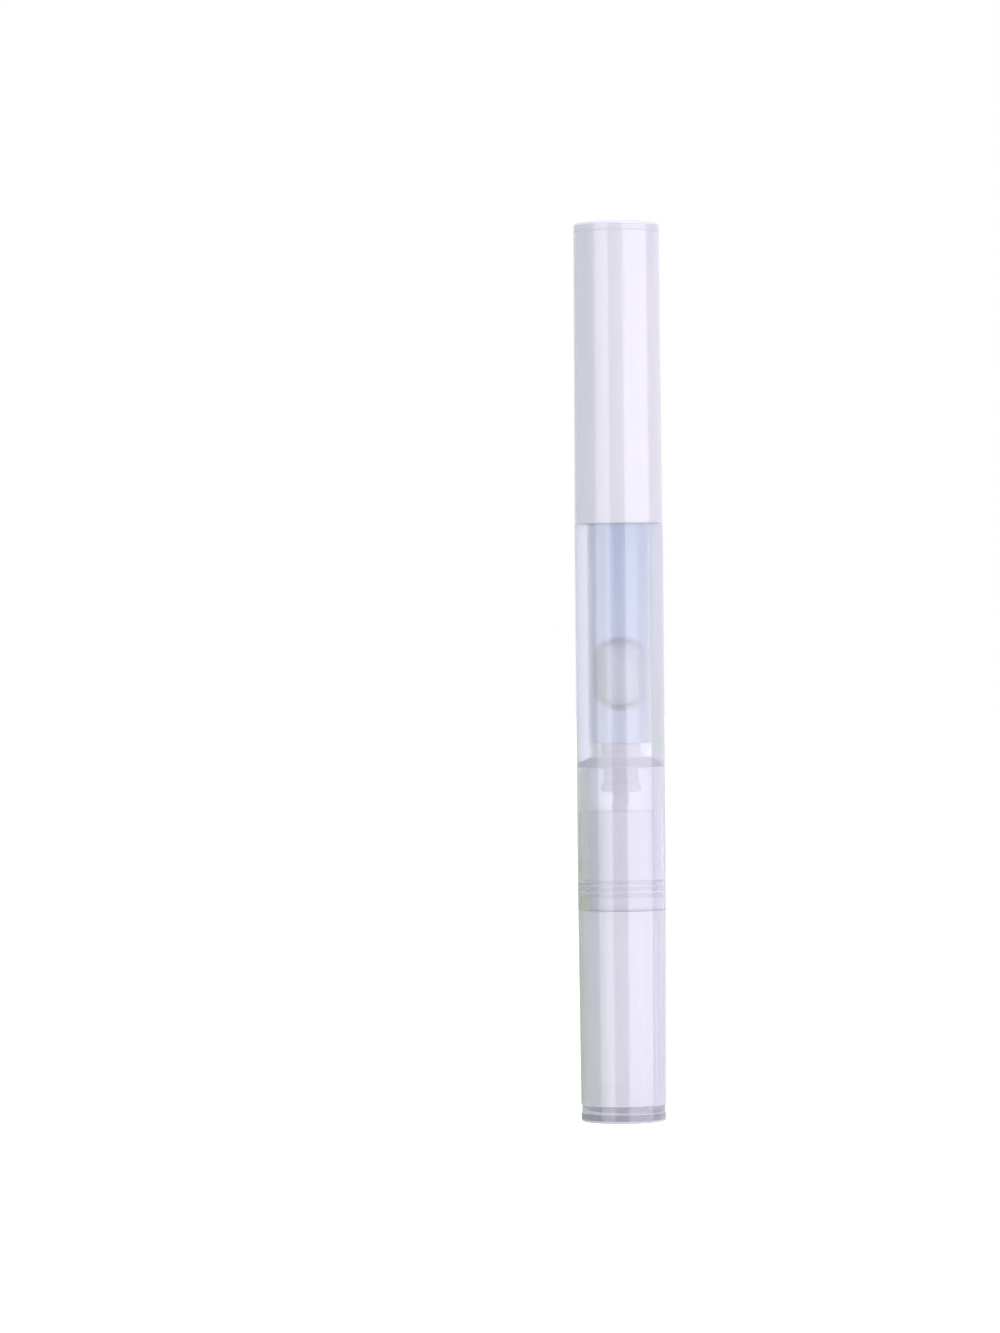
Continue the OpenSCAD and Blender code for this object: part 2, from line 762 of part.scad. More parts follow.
// The disc's underside joins its inner and outer rings, whose points follow the top's
rim_start = disc_points;
hub_start = disc_points + ring_counts[last_ring];
strand_start = hub_start + ring_counts[0];
function rim_index(i) = rim_start + (i + ring_counts[last_ring]) % ring_counts[last_ring];
function hub_index(i) = hub_start + (i + ring_counts[0]) % ring_counts[0];
function under(i) = round((i + 1) * ring_counts[0] / ring_counts[last_ring]);
under_cells = [for (i = [0 : ring_counts[last_ring] - 1])
    each concat(
        [[rim_index(i), rim_index(i + 1), hub_index(under(i))]],
        under(i) == under(i - 1) ? [] : [[hub_index(under(i)), hub_index(under(i - 1)), rim_index(i)]]
    )];
wall_cells = concat(
    [for (i = [0 : ring_counts[last_ring] - 1])
        each [
            [rim_index(i), disc_index(last_ring, i), disc_index(last_ring, i + 1)],
            [rim_index(i), disc_index(last_ring, i + 1), rim_index(i + 1)]
        ]],
    [for (i = [0 : ring_counts[0] - 1])
        each [
            [hub_index(i), hub_index(i + 1), disc_index(0, i + 1)],
            [hub_index(i), disc_index(0, i + 1), disc_index(0, i)]
        ]]
);

module bristles() {
    points = concat(
        [for (k = [0 : last_ring], i = [0 : ring_counts[k] - 1]) disc_point(k, i, slice_top)],
        [for (i = [0 : ring_counts[last_ring] - 1]) disc_point(last_ring, i, ferrule_z)],
        [for (i = [0 : ring_counts[0] - 1]) disc_point(0, i, ferrule_z)],
        [for (foot = strand_feet) each strand_points(foot)]
    );
    faces = concat(
        pair_cells,
        [for (m = [0 : pair_count - 2]) each band_cells(2 * m + 1)],
        under_cells,
        wall_cells,
        [for (n = [0 : len(strand_feet) - 1])
            each strand_faces(strand_feet[n], strand_start + strand_size * n)]
    );
    echo(strands = len(strand_feet), triangles = len(faces));
    color("#f7f5f2")
        polyhedron(points = points, faces = faces, convexity = 10);
}

module cap() {
    groove_z = neck_top - bead_drop;
    color("#e7e4f6")
        rotate_extrude()
            polygon(concat(
                [[cap_bore_r + rim_relief, cap_z], [seam_r - seam_chamfer, cap_z]],
                [[seam_r, cap_z + seam_chamfer], [end_r, cap_end], [cap_bore_r, cap_end]],
                down(bead_up(cap_bore_r, bead_room, groove_z, 2 * bead_w)),
                [[cap_bore_r, cap_z + rim_relief]]
            ));
}

module cap_liner() {
    collar_r = cap_bore_r - press_gap;
    tube_r = liner_bore_r + liner_wall;
    color("#f0eef8")
        rotate_extrude()
            polygon([
                [liner_bore_r, liner_z],
                [collar_r, liner_z],
                [collar_r, liner_z + liner_collar_h],
                [tube_r, liner_z + liner_collar_h],
                [tube_r, liner_top - liner_collar_h],
                [collar_r, liner_top - liner_collar_h],
                [collar_r, liner_top],
                [0, liner_top],
                [0, liner_top - liner_roof_t],
                [liner_bore_r, liner_top - liner_roof_t]
            ]);
}

module cap_top() {
    spigot_r = cap_bore_r - press_gap;
    spigot_z = cap_end - cap_spigot_len;
    color("#d9d6e8")
        rotate_extrude()
            polygon(concat(
                [[0, cap_end], [spigot_r - spigot_wall, cap_end], [spigot_r - spigot_wall, spigot_z]],
                [[spigot_r, spigot_z], [spigot_r, cap_end], [end_r, cap_end]],
                quarter(end_r - edge_r, pen_top - edge_r, edge_r, 0),
                [[0, pen_top]]
            ));
}

end_plug();
knob();
drive_sleeve();
click_ring();
rear_bush();
ratchet_ring();
thread_nut();
screw_rod();
piston();
oil_fill();
barrel();
nozzle_seal();
feed_tube();
nozzle();
brush_ferrule();
bristles();
cap();
cap_liner();
cap_top();
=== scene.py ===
import math

import bmesh
import bpy
from mathutils import Matrix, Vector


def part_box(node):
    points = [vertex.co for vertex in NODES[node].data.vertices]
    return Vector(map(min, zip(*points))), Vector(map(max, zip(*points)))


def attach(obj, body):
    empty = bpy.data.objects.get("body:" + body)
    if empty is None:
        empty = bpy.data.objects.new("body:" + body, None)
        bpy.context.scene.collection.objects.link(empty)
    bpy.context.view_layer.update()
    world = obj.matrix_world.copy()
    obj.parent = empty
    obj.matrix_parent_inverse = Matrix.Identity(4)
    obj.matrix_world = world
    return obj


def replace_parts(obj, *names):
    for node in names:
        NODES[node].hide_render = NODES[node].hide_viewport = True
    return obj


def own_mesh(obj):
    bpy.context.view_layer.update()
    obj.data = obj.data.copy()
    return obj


# A twist pen for nail oil stands on its end plug in a white studio.
# The pen's sizes are in millimetres, and MM turns them to metres. The studio's are in metres.
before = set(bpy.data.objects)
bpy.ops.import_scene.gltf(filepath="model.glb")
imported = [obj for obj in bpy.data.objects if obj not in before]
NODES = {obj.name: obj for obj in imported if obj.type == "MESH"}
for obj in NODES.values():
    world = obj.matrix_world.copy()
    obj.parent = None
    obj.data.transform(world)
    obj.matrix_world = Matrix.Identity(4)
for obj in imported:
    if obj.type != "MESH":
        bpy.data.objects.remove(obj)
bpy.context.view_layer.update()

MM = 0.001


# Small tools
def linear(hex_code):
    """The linear RGBA colour of an sRGB hex code such as E7E4F6."""
    shares = [int(hex_code[i:i + 2], 16) / 255 for i in (0, 2, 4)]
    return (*[s / 12.92 if s <= 0.04045 else ((s + 0.055) / 1.055) ** 2.4 for s in shares], 1)


def add(tree, kind, inputs=(), **settings):
    """One node with its settings and links. A list fills its inputs by place, and a dict by name.

    An input takes a value, a socket, or a node whose first output in use is linked to it.
    """
    made = tree.nodes.new(kind)
    for name, value in settings.items():
        setattr(made, name, value)
    for key, value in inputs.items() if isinstance(inputs, dict) else enumerate(inputs):
        end = next(s for i, s in enumerate(made.inputs) if s.enabled and key in (i, s.name))
        if isinstance(value, bpy.types.Node):
            value = next(s for s in value.outputs if s.enabled)
        if isinstance(value, bpy.types.NodeSocket):
            tree.links.new(value, end)
        else:
            end.default_value = value
    return made


def reach(node):
    """A node's radius across the pen, and its lowest and highest place."""
    low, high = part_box(node)
    return high.y / MM, low.z / MM, high.z / MM


# Sizes that the frame gives
BARREL_R, BARREL_Z, NECK_TOP = reach("barrel")
KNOB_R, KNOB_Z, KNOB_TOP = reach("knob")
CAP_R, CAP_Z, CAP_END = reach("cap")
END_R, _, PEN_TOP = reach("cap_top")
FLANGE_R, _, PLUG_TOP = reach("end_plug")
LINER_R, LINER_Z, LINER_TOP = reach("cap_liner")
OIL_R, OIL_Z, OIL_TOP = reach("oil_fill")
PISTON_R, PISTON_Z, PISTON_TOP = reach("piston")
NUT_R, _, NUT_TOP = reach("thread_nut")
ROD_R, ROD_Z, ROD_TOP = reach("screw_rod")
SEAL_R, SEAL_Z, SEAL_TOP = reach("nozzle_seal")
TUBE_R, TUBE_Z, TUBE_TOP = reach("feed_tube")
NOZZLE_R, NOZZLE_Z, NOZZLE_TOP = reach("nozzle")
FERRULE_R, FERRULE_Z, FERRULE_TOP = reach("brush_ferrule")
SLEEVE_FLANGE_R = reach("drive_sleeve")[0]
TUFT_TOP = reach("bristles")[2]

# Fits and small finishing sizes
PRESS_GAP = 0.03
SLIP = 0.1
FACE_GAP = 0.02
SEAM_GAP = 0.03
KNOB_SEAM = (BARREL_Z + KNOB_TOP) / 2
SOFT_EDGE = 0.12
FINE_EDGE = 0.04
TIGHT_EDGE = 0.02


# Geometry Nodes trees
# A turned outline is carried by a circle of this radius, and points nearer than CLOSE are one.
RING_R = 1.0
CLOSE = 0.002
GOLDEN_ANGLE = math.pi * (3 - math.sqrt(5))


def geometry_tree(name, inputs):
    """A tree with named inputs after its geometry, and the outputs of its input node."""
    tree = bpy.data.node_groups.new(name, "GeometryNodeTree")
    tree.interface.new_socket("Geometry", in_out="INPUT", socket_type="NodeSocketGeometry")
    for label, kind in inputs.items():
        tree.interface.new_socket(label, in_out="INPUT", socket_type="NodeSocket" + kind)
    tree.interface.new_socket("Geometry", in_out="OUTPUT", socket_type="NodeSocketGeometry")
    return tree, add(tree, "NodeGroupInput").outputs


def end_tree(tree, geometry, material):
    """Realizes instances and sets the material, as the last steps of a tree."""
    real = add(tree, "GeometryNodeRealizeInstances", [geometry])
    dressed = add(tree, "GeometryNodeSetMaterial", {"Geometry": real, "Material": material})
    add(tree, "NodeGroupOutput", [dressed])
    return tree


def turned_tree():
    """Rounds the corners of an outline, turns it round the pen's axis, and cuts channels along it.

    Each point of the outline says how far its corner is rounded and whether channels cut it.
    """
    tree, given = geometry_tree("turned_outline", {
        "Steps Around": "Int", "Steps Per Corner": "Int", "Channels": "Int",
        "Channel Width": "Float", "Channel Radius": "Float", "Material": "Material"})
    line = add(tree, "GeometryNodeMeshToCurve", [given["Geometry"]])
    rounding = add(tree, "GeometryNodeInputNamedAttribute", {"Name": "rounding"}, data_type="FLOAT")
    soft = add(tree, "GeometryNodeFilletCurve",
               {"Curve": line, "Count": given["Steps Per Corner"], "Radius": rounding,
                "Limit Radius": True}, mode="POLY")
    circle = add(tree, "GeometryNodeCurvePrimitiveCircle",
                 {"Resolution": given["Steps Around"], "Radius": RING_R * MM})
    shell = add(tree, "GeometryNodeCurveToMesh", {"Curve": circle, "Profile Curve": soft})

    # A point lies in a channel when its arc to the nearest channel's middle is short enough.
    flat = add(tree, "ShaderNodeVectorMath", [add(tree, "GeometryNodeInputPosition"), (1, 1, 0)],
               operation="MULTIPLY")
    radius = add(tree, "ShaderNodeVectorMath", [flat], operation="LENGTH")
    place = add(tree, "ShaderNodeSeparateXYZ", [flat])
    angle = add(tree, "ShaderNodeMath", [place.outputs["Y"], place.outputs["X"]], operation="ARCTAN2")
    count = add(tree, "ShaderNodeMath", [given["Channels"], 1], operation="MAXIMUM")
    half_pitch = add(tree, "ShaderNodeMath", [math.pi, count], operation="DIVIDE")
    aside = add(tree, "ShaderNodeMath", [angle, half_pitch], operation="PINGPONG")
    arc = add(tree, "ShaderNodeMath", [aside, radius], operation="MULTIPLY")
    half_width = add(tree, "ShaderNodeMath", [given["Channel Width"], 0.5], operation="MULTIPLY")
    inside = add(tree, "ShaderNodeMath", [arc, half_width], operation="LESS_THAN")
    mark = add(tree, "GeometryNodeInputNamedAttribute", {"Name": "channelled"}, data_type="FLOAT")
    cut = add(tree, "ShaderNodeMath", [inside, mark], operation="MULTIPLY")
    depth = add(tree, "ShaderNodeMath", [given["Channel Radius"], radius], operation="SUBTRACT")
    outward = add(tree, "ShaderNodeVectorMath", [flat], operation="NORMALIZE")
    step = add(tree, "ShaderNodeVectorMath", {"Vector": outward, "Scale": depth}, operation="SCALE")
    moved = add(tree, "GeometryNodeSetPosition", {"Geometry": shell, "Selection": cut, "Offset": step})
    closed = add(tree, "GeometryNodeMergeByDistance", {"Geometry": moved, "Distance": CLOSE * MM})
    return end_tree(tree, closed, given["Material"])


def thread_tree():
    """A knuckle thread: a round bar whose centre winds round the axis, with two flats along it.

    A flat grid is wrapped round the bar, and its first and last rows draw in to the axis.
    """
    tree, given = geometry_tree("knuckle_thread", {
        "Core Radius": "Float", "Eccentricity": "Float", "Pitch": "Float", "Half Flat": "Float",
        "Middle": "Float", "Length": "Float", "Sides": "Int", "Rings": "Int", "Material": "Material"})
    grid = add(tree, "GeometryNodeMeshGrid", {
        "Size X": 1.0, "Size Y": 1.0, "Vertices X": given["Sides"], "Vertices Y": given["Rings"]})
    across, along, _ = add(tree, "ShaderNodeSeparateXYZ",
                           [add(tree, "GeometryNodeInputPosition")]).outputs
    angle = add(tree, "ShaderNodeMath", [across, math.tau], operation="MULTIPLY")
    height = add(tree, "ShaderNodeMath", [along, given["Length"], given["Middle"]],
                 operation="MULTIPLY_ADD")
    turns = add(tree, "ShaderNodeMath", [height, given["Pitch"]], operation="DIVIDE")
    turn = add(tree, "ShaderNodeMath", [turns, math.tau], operation="MULTIPLY")
    spoke = add(tree, "ShaderNodeCombineXYZ", {"X": given["Core Radius"]})
    core = add(tree, "ShaderNodeVectorRotate", {"Vector": spoke, "Angle": angle},
               rotation_type="Z_AXIS")
    crank = add(tree, "ShaderNodeCombineXYZ", {"X": given["Eccentricity"]})
    centre = add(tree, "ShaderNodeVectorRotate", {"Vector": crank, "Angle": turn},
                 rotation_type="Z_AXIS")
    bar = add(tree, "ShaderNodeVectorMath", [core, centre], operation="ADD")
    flats = add(tree, "ShaderNodeCombineXYZ", {"X": 1.0, "Y": given["Half Flat"]})
    lower = add(tree, "ShaderNodeVectorMath", {"Vector": flats, "Scale": -1.0}, operation="SCALE")
    upper = add(tree, "ShaderNodeVectorMath", [bar, flats], operation="MINIMUM")
    milled = add(tree, "ShaderNodeVectorMath", [upper, lower], operation="MAXIMUM")
    # The grid reaches half of its size to each side of its middle, so its end rows lie past this.
    last_inner = 0.4999
    away = add(tree, "ShaderNodeMath", [along], operation="ABSOLUTE")
    within = add(tree, "ShaderNodeMath", [away, last_inner], operation="LESS_THAN")
    drawn = add(tree, "ShaderNodeVectorMath", {"Vector": milled, "Scale": within}, operation="SCALE")
    lift = add(tree, "ShaderNodeCombineXYZ", {"Z": height})
    point = add(tree, "ShaderNodeVectorMath", [drawn, lift], operation="ADD")
    moved = add(tree, "GeometryNodeSetPosition", {"Geometry": grid, "Position": point})
    closed = add(tree, "GeometryNodeMergeByDistance", {"Geometry": moved, "Distance": CLOSE * MM})
    return end_tree(tree, closed, given["Material"])


def tuft_tree():
    """Bristles that leave the ferrule side by side, swell to a belly and draw in to a point."""
    tree, given = geometry_tree("bristle_tuft", {
        "Bristles": "Int", "Bristle Radius": "Float", "Hole Radius": "Float", "Root Radius": "Float",
        "Foot": "Float", "Mouth": "Float", "Belly": "Float", "Top": "Float", "Belly Swell": "Float",
        "Point Share": "Float", "Tip Drop": "Float", "Stray": "Float", "Seed": "Int",
        "Material": "Material"})

    # The feet fill a ring evenly, one bristle a golden angle after the other.
    index = add(tree, "GeometryNodeInputIndex")
    order = add(tree, "ShaderNodeMath", [index, given["Bristles"]], operation="DIVIDE")
    hole = add(tree, "ShaderNodeMath", [given["Hole Radius"], 2], operation="POWER")
    disc = add(tree, "ShaderNodeMath", [given["Root Radius"], 2], operation="POWER")
    area = add(tree, "ShaderNodeMath", [disc, hole], operation="SUBTRACT")
    square = add(tree, "ShaderNodeMath", [order, area, hole], operation="MULTIPLY_ADD")
    radius = add(tree, "ShaderNodeMath", [square], operation="SQRT")
    angle = add(tree, "ShaderNodeMath", [index, GOLDEN_ANGLE], operation="MULTIPLY")
    spoke = add(tree, "ShaderNodeCombineXYZ", {"X": radius})
    foot = add(tree, "ShaderNodeVectorRotate", {"Vector": spoke, "Angle": angle},
               rotation_type="Z_AXIS")
    chance = add(tree, "FunctionNodeRandomValue",
                 {"Min": (-1, -1, -1), "Max": (1, 1, 1), "ID": index, "Seed": given["Seed"]},
                 data_type="FLOAT_VECTOR")
    points = add(tree, "GeometryNodePoints", {"Count": given["Bristles"]})
    for name, kind, value in (("foot", "FLOAT_VECTOR", foot), ("chance", "FLOAT_VECTOR", chance),
                              ("order", "FLOAT", order)):
        points = add(tree, "GeometryNodeStoreNamedAttribute",
                     {"Geometry": points, "Name": name, "Value": value}, data_type=kind, domain="POINT")
    bristle = add(tree, "GeometryNodeMeshCylinder",
                  {"Vertices": 5, "Side Segments": 7, "Radius": 1.0, "Depth": 1.0})
    planted = add(tree, "GeometryNodeInstanceOnPoints",
                  {"Points": points, "Instance": bristle.outputs["Mesh"]})
    real = add(tree, "GeometryNodeRealizeInstances", [planted])

    # Each bristle runs from its foot to its own tip, and its points follow the tuft's outline.
    own_foot = add(tree, "GeometryNodeInputNamedAttribute", {"Name": "foot"}, data_type="FLOAT_VECTOR")
    own_chance = add(tree, "GeometryNodeInputNamedAttribute", {"Name": "chance"},
                     data_type="FLOAT_VECTOR")
    own_order = add(tree, "GeometryNodeInputNamedAttribute", {"Name": "order"}, data_type="FLOAT")
    local = add(tree, "GeometryNodeInputPosition")
    share = add(tree, "ShaderNodeMath", [add(tree, "ShaderNodeSeparateXYZ", [local]).outputs["Z"], 0.5],
                operation="ADD")
    # The outer bristles end lower, and each one also by its own luck.
    luck = add(tree, "ShaderNodeMath",
               [add(tree, "ShaderNodeSeparateXYZ", [own_chance]).outputs["Z"]], operation="ABSOLUTE")
    luck_share = 0.25
    uneven = add(tree, "ShaderNodeMath", [luck, luck_share, own_order], operation="MULTIPLY_ADD")
    drop = add(tree, "ShaderNodeMath", [uneven, given["Tip Drop"]], operation="MULTIPLY")
    tip = add(tree, "ShaderNodeMath", [given["Top"], drop], operation="SUBTRACT")
    height = add(tree, "ShaderNodeMapRange", {"Value": share, "To Min": given["Foot"], "To Max": tip})
    swell = add(tree, "ShaderNodeMapRange",
                {"Value": height, "From Min": given["Mouth"], "From Max": given["Belly"],
                 "To Min": 1.0, "To Max": given["Belly Swell"]}, interpolation_type="SMOOTHSTEP")
    narrow = add(tree, "ShaderNodeMapRange",
                 {"Value": height, "From Min": given["Belly"], "From Max": given["Top"],
                  "To Min": 1.0, "To Max": given["Point Share"]}, interpolation_type="SMOOTHSTEP")
    wide = add(tree, "ShaderNodeMath", [swell, narrow], operation="MULTIPLY")
    # A bristle strays mostly near its tip, and its last fifth thins out.
    late = add(tree, "ShaderNodeMath", [share, 3], operation="POWER")
    loose = add(tree, "ShaderNodeMath", [late, given["Stray"]], operation="MULTIPLY")
    thin = add(tree, "ShaderNodeMapRange", {"Value": share, "From Min": 0.8, "To Min": 1.0,
                                            "To Max": 0.35})
    thick = add(tree, "ShaderNodeMath", [thin, given["Bristle Radius"]], operation="MULTIPLY")
    spot = add(tree, "ShaderNodeVectorMath", {"Vector": own_foot, "Scale": wide}, operation="SCALE")
    sway = add(tree, "ShaderNodeVectorMath", {"Vector": own_chance, "Scale": loose}, operation="SCALE")
    girth = add(tree, "ShaderNodeVectorMath", {"Vector": local, "Scale": thick}, operation="SCALE")
    centre = add(tree, "ShaderNodeVectorMath", [spot, sway], operation="ADD")
    skin = add(tree, "ShaderNodeVectorMath", [centre, girth], operation="ADD")
    lift = add(tree, "ShaderNodeCombineXYZ", {"Z": height})
    point = add(tree, "ShaderNodeVectorMath", [skin, (1, 1, 0), lift], operation="MULTIPLY_ADD")
    bent = add(tree, "GeometryNodeSetPosition", {"Geometry": real, "Position": point})
    return end_tree(tree, bent, given["Material"])


TURNED = turned_tree()
THREAD = thread_tree()
TUFT = tuft_tree()


# Making pieces
def plain_mesh(holder):
    """The mesh that an object's modifiers give, as a mesh of its own."""
    graph = bpy.context.evaluated_depsgraph_get()
    return bpy.data.meshes.new_from_object(holder.evaluated_get(graph), depsgraph=graph)


def grown(seed, tree, values, sharp_degrees=40):
    """The mesh that a tree grows from a seed mesh, facing outwards. Broad faces keep true shading."""
    holder = bpy.data.objects.new("seed", seed)
    bpy.context.scene.collection.objects.link(holder)
    modifier = holder.modifiers.new("tree", "NODES")
    modifier.node_group = tree
    for item in tree.interface.items_tree:
        if item.in_out == "INPUT" and item.name in values:
            modifier[item.identifier] = values[item.name]
    bpy.context.view_layer.update()
    mesh = plain_mesh(holder)
    skin = bmesh.new()
    skin.from_mesh(mesh)
    bmesh.ops.recalc_face_normals(skin, faces=skin.faces)
    skin.to_mesh(mesh)
    skin.free()
    mesh.shade_smooth()
    mesh.set_sharp_from_angle(angle=math.radians(sharp_degrees))
    holder.modifiers.clear()
    holder.data = mesh
    holder.modifiers.new("normals", "WEIGHTED_NORMAL").keep_sharp = True
    bpy.context.view_layer.update()
    final = plain_mesh(holder)
    bpy.data.objects.remove(holder)
    return final


def turned(corners, material, around=160, corner=4, channels=0, channel_w=0.0, channel_r=0.0):
    """A mesh turned from corners (radius, height, rounding). A fourth value of 1 lets channels cut it.

    An outline that starts and ends on the axis is left open there, and any other one is closed.
    """
    rings = len(corners)
    on_axis = corners[0][0] == 0 and corners[-1][0] == 0
    edges = [(i, (i + 1) % rings) for i in range(rings - on_axis)]
    seed = bpy.data.meshes.new("outline")
    seed.from_pydata([((r - RING_R) * MM, -z * MM, 0) for r, z, *_ in corners], edges, [])
    rounding = seed.attributes.new("rounding", "FLOAT", "POINT")
    rounding.data.foreach_set("value", [point[2] * MM for point in corners])
    channelled = seed.attributes.new("channelled", "FLOAT", "POINT")
    channelled.data.foreach_set("value", [float(len(point) > 3) for point in corners])
    return grown(seed, TURNED, {
        "Steps Around": around, "Steps Per Corner": corner, "Channels": channels,
        "Channel Width": channel_w * MM, "Channel Radius": channel_r * MM, "Material": material})


def joined(*meshes):
    """Several meshes of one material as one."""
    whole = bmesh.new()
    for mesh in meshes:
        whole.from_mesh(mesh)
    whole.to_mesh(meshes[0])
    whole.free()
    return meshes[0]


def shown(name, mesh, body, slot, *nodes):
    """A piece that rides on a body and stands for CAD nodes."""
    piece = bpy.data.objects.new(name, mesh)
    bpy.context.scene.collection.objects.link(piece)
    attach(piece, body)
    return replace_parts(piece, *nodes)


def bead(r, height, z, width, edge=0.1):
    """Corners of a rounded bead on an outline that runs up a wall. A negative height is a groove.

    Its crest is a third of its width.
    """
    return [(r, z - width / 2, edge), (r + height, z - width / 6, edge),
            (r + height, z + width / 6, edge), (r, z + width / 2, edge)]


def gate_mark(z, inward):
    """Corners of the shallow dimple that keeps a gate's stub below a face, from the rim to the axis."""
    dimple_r, dimple_slope, stub_r, stub_slope = 1.0, 0.1, 0.4, 0.08
    bottom, stub_top = z + inward * 0.14, z + inward * 0.05
    return [(dimple_r, z, 0.06), (dimple_r - dimple_slope, bottom, 0.05), (stub_r, bottom, 0.03),
            (stub_r - stub_slope, stub_top, 0.03), (0, stub_top, 0)]


# Materials
# Each pattern lies on Object coordinates, and its size is a real one in millimetres.
# Most of a noise's values lie between these two.
NOISE_LOW, NOISE_HIGH = 0.3, 0.7


def new_tree(name):
    """An empty material and its node tree."""
    material = bpy.data.materials.new(name)
    material.use_nodes = True
    material.node_tree.nodes.clear()
    return material, material.node_tree


def mottle(tree, size, detail=2.0, stretch=(1, 1, 1)):
    """Noise whose blobs are about size millimetres across. A stretch below 1 draws them out."""
    place = add(tree, "ShaderNodeTexCoord").outputs["Object"]
    drawn = add(tree, "ShaderNodeMapping", {"Vector": place, "Scale": stretch})
    return add(tree, "ShaderNodeTexNoise",
               {"Vector": drawn, "Scale": 1 / (size * MM), "Detail": detail})


def polished_san(name, light, dark, clear, haze):
    """SAN, injection moulded and tinted lavender. Its walls are polished, and its steps are matt."""
    # The hard resin gives a soft skin of gloss over a pearly inner haze.
    material, tree = new_tree(name)
    # Flow marks run along the pen. They are finer than a render shows, so they are 2.5 mm wide here.
    flow = mottle(tree, 2.5, 3, (1, 1, 0.12))
    colour = add(tree, "ShaderNodeMix", {"Factor": flow, "A": linear(light), "B": linear(dark)},
                 data_type="RGBA")
    # Handling leaves patches of faint rub, 4 mm across.
    rub_haze = 0.015
    rub = add(tree, "ShaderNodeMapRange", {"Value": mottle(tree, 4, 4), "From Min": 0.35,
                                           "From Max": 0.7, "To Min": haze, "To Max": haze + rub_haze})
    # The tool's steps and rims are not polished, so seams and the bore's cone stay pale and faint.
    # How far a surface faces up or down: up to the first share it is a wall, past the next a step.
    wall_slope, step_slope, step_roughness = 0.15, 0.4, 0.4
    facing = add(tree, "ShaderNodeTexCoord").outputs["Normal"]
    upward = add(tree, "ShaderNodeSeparateXYZ", [facing]).outputs["Z"]
    steep = add(tree, "ShaderNodeMath", [upward], operation="ABSOLUTE")
    matt = add(tree, "ShaderNodeMapRange", {"Value": steep, "From Min": wall_slope,
                                            "From Max": step_slope, "To Max": step_roughness})
    rough = add(tree, "ShaderNodeMath", [rub, matt], operation="ADD")
    sheer = add(tree, "ShaderNodeMapRange", {"Value": steep, "From Min": wall_slope,
                                             "From Max": step_slope, "To Min": clear, "To Max": 0.0})
    # Walls sink a little as they cool, in ripples 1.8 mm wide that make the bright bands waver.
    ripple = add(tree, "ShaderNodeBump", {"Height": mottle(tree, 1.8, 2, (1, 1, 0.25)),
                                          "Distance": 0.006 * MM})
    shader = add(tree, "ShaderNodeBsdfPrincipled", {
        "Base Color": colour, "Roughness": rough, "IOR": 1.57, "Transmission Weight": sheer,
        "Coat Weight": 0.8, "Coat Roughness": 0.08, "Coat IOR": 1.5, "Normal": ripple})
    add(tree, "ShaderNodeOutputMaterial", {"Surface": shader})
    return material


def moulded_polypropylene(name, light, dark, clear):
    """Polypropylene, injection moulded."""
    # Its crystals scatter light, so it looks milky and waxy, with a broad soft shine.
    material, tree = new_tree(name)
    # The crystals themselves are 0.05 mm wide, so the clouds they form are drawn 3 mm wide.
    colour = add(tree, "ShaderNodeMix", {"Factor": mottle(tree, 3, 3), "A": linear(light),
                                         "B": linear(dark)}, data_type="RGBA")
    # Its skin cools unevenly, so the shine comes and goes in spots of 0.6 mm.
    waxy = add(tree, "ShaderNodeMapRange", {"Value": mottle(tree, 0.6), "From Min": NOISE_LOW,
                                            "From Max": NOISE_HIGH, "To Min": 0.26, "To Max": 0.38})
    shader = add(tree, "ShaderNodeBsdfPrincipled", {
        "Base Color": colour, "Roughness": waxy, "IOR": 1.49, "Transmission Weight": clear})
    add(tree, "ShaderNodeOutputMaterial", {"Surface": shader})
    return material


def natural_acetal(name, light, dark):
    """Acetal, injection moulded in a lightly blasted tool."""
    # It is an opaque cool white with a satin shine, the look of small gears and clips.
    material, tree = new_tree(name)
    # The white itself varies in faint clouds, 1.5 mm wide.
    colour = add(tree, "ShaderNodeMix", {"Factor": mottle(tree, 1.5, 3), "A": linear(light),
                                         "B": linear(dark)}, data_type="RGBA")
    # Blasting pits are 0.03 mm wide, so they are drawn 0.25 mm wide.
    blasted = mottle(tree, 0.25)
    satin = add(tree, "ShaderNodeMapRange", {"Value": blasted, "From Min": NOISE_LOW,
                                             "From Max": NOISE_HIGH, "To Min": 0.34, "To Max": 0.5})
    pits = add(tree, "ShaderNodeBump", {"Height": blasted, "Distance": 0.005 * MM})
    shader = add(tree, "ShaderNodeBsdfPrincipled", {
        "Base Color": colour, "Roughness": satin, "IOR": 1.48, "Normal": pits})
    add(tree, "ShaderNodeOutputMaterial", {"Surface": shader})
    return material


def soft_polyethylene():
    """Low-density polyethylene, injection moulded."""
    # The piston wipes the bore with it: soft, milky and dull, with scuffs round its lips.
    material, tree = new_tree("low_density_polyethylene")
    # Real scuffs are hairlines round the piston, so they are drawn as bands 0.5 mm high.
    scuffs = mottle(tree, 0.5, 4, (0.2, 0.2, 1))
    colour = add(tree, "ShaderNodeMix", {"Factor": scuffs, "A": linear("F6F5FA"),
                                         "B": linear("E6E5EE")}, data_type="RGBA")
    dull = add(tree, "ShaderNodeMapRange", {"Value": scuffs, "From Min": NOISE_LOW,
                                            "From Max": NOISE_HIGH, "To Min": 0.38, "To Max": 0.52})
    shader = add(tree, "ShaderNodeBsdfPrincipled", {
        "Base Color": colour, "Roughness": dull, "IOR": 1.51, "Transmission Weight": 0.25,
        "Normal": add(tree, "ShaderNodeBump", {"Height": scuffs, "Distance": 0.004 * MM})})
    add(tree, "ShaderNodeOutputMaterial", {"Surface": shader})
    return material


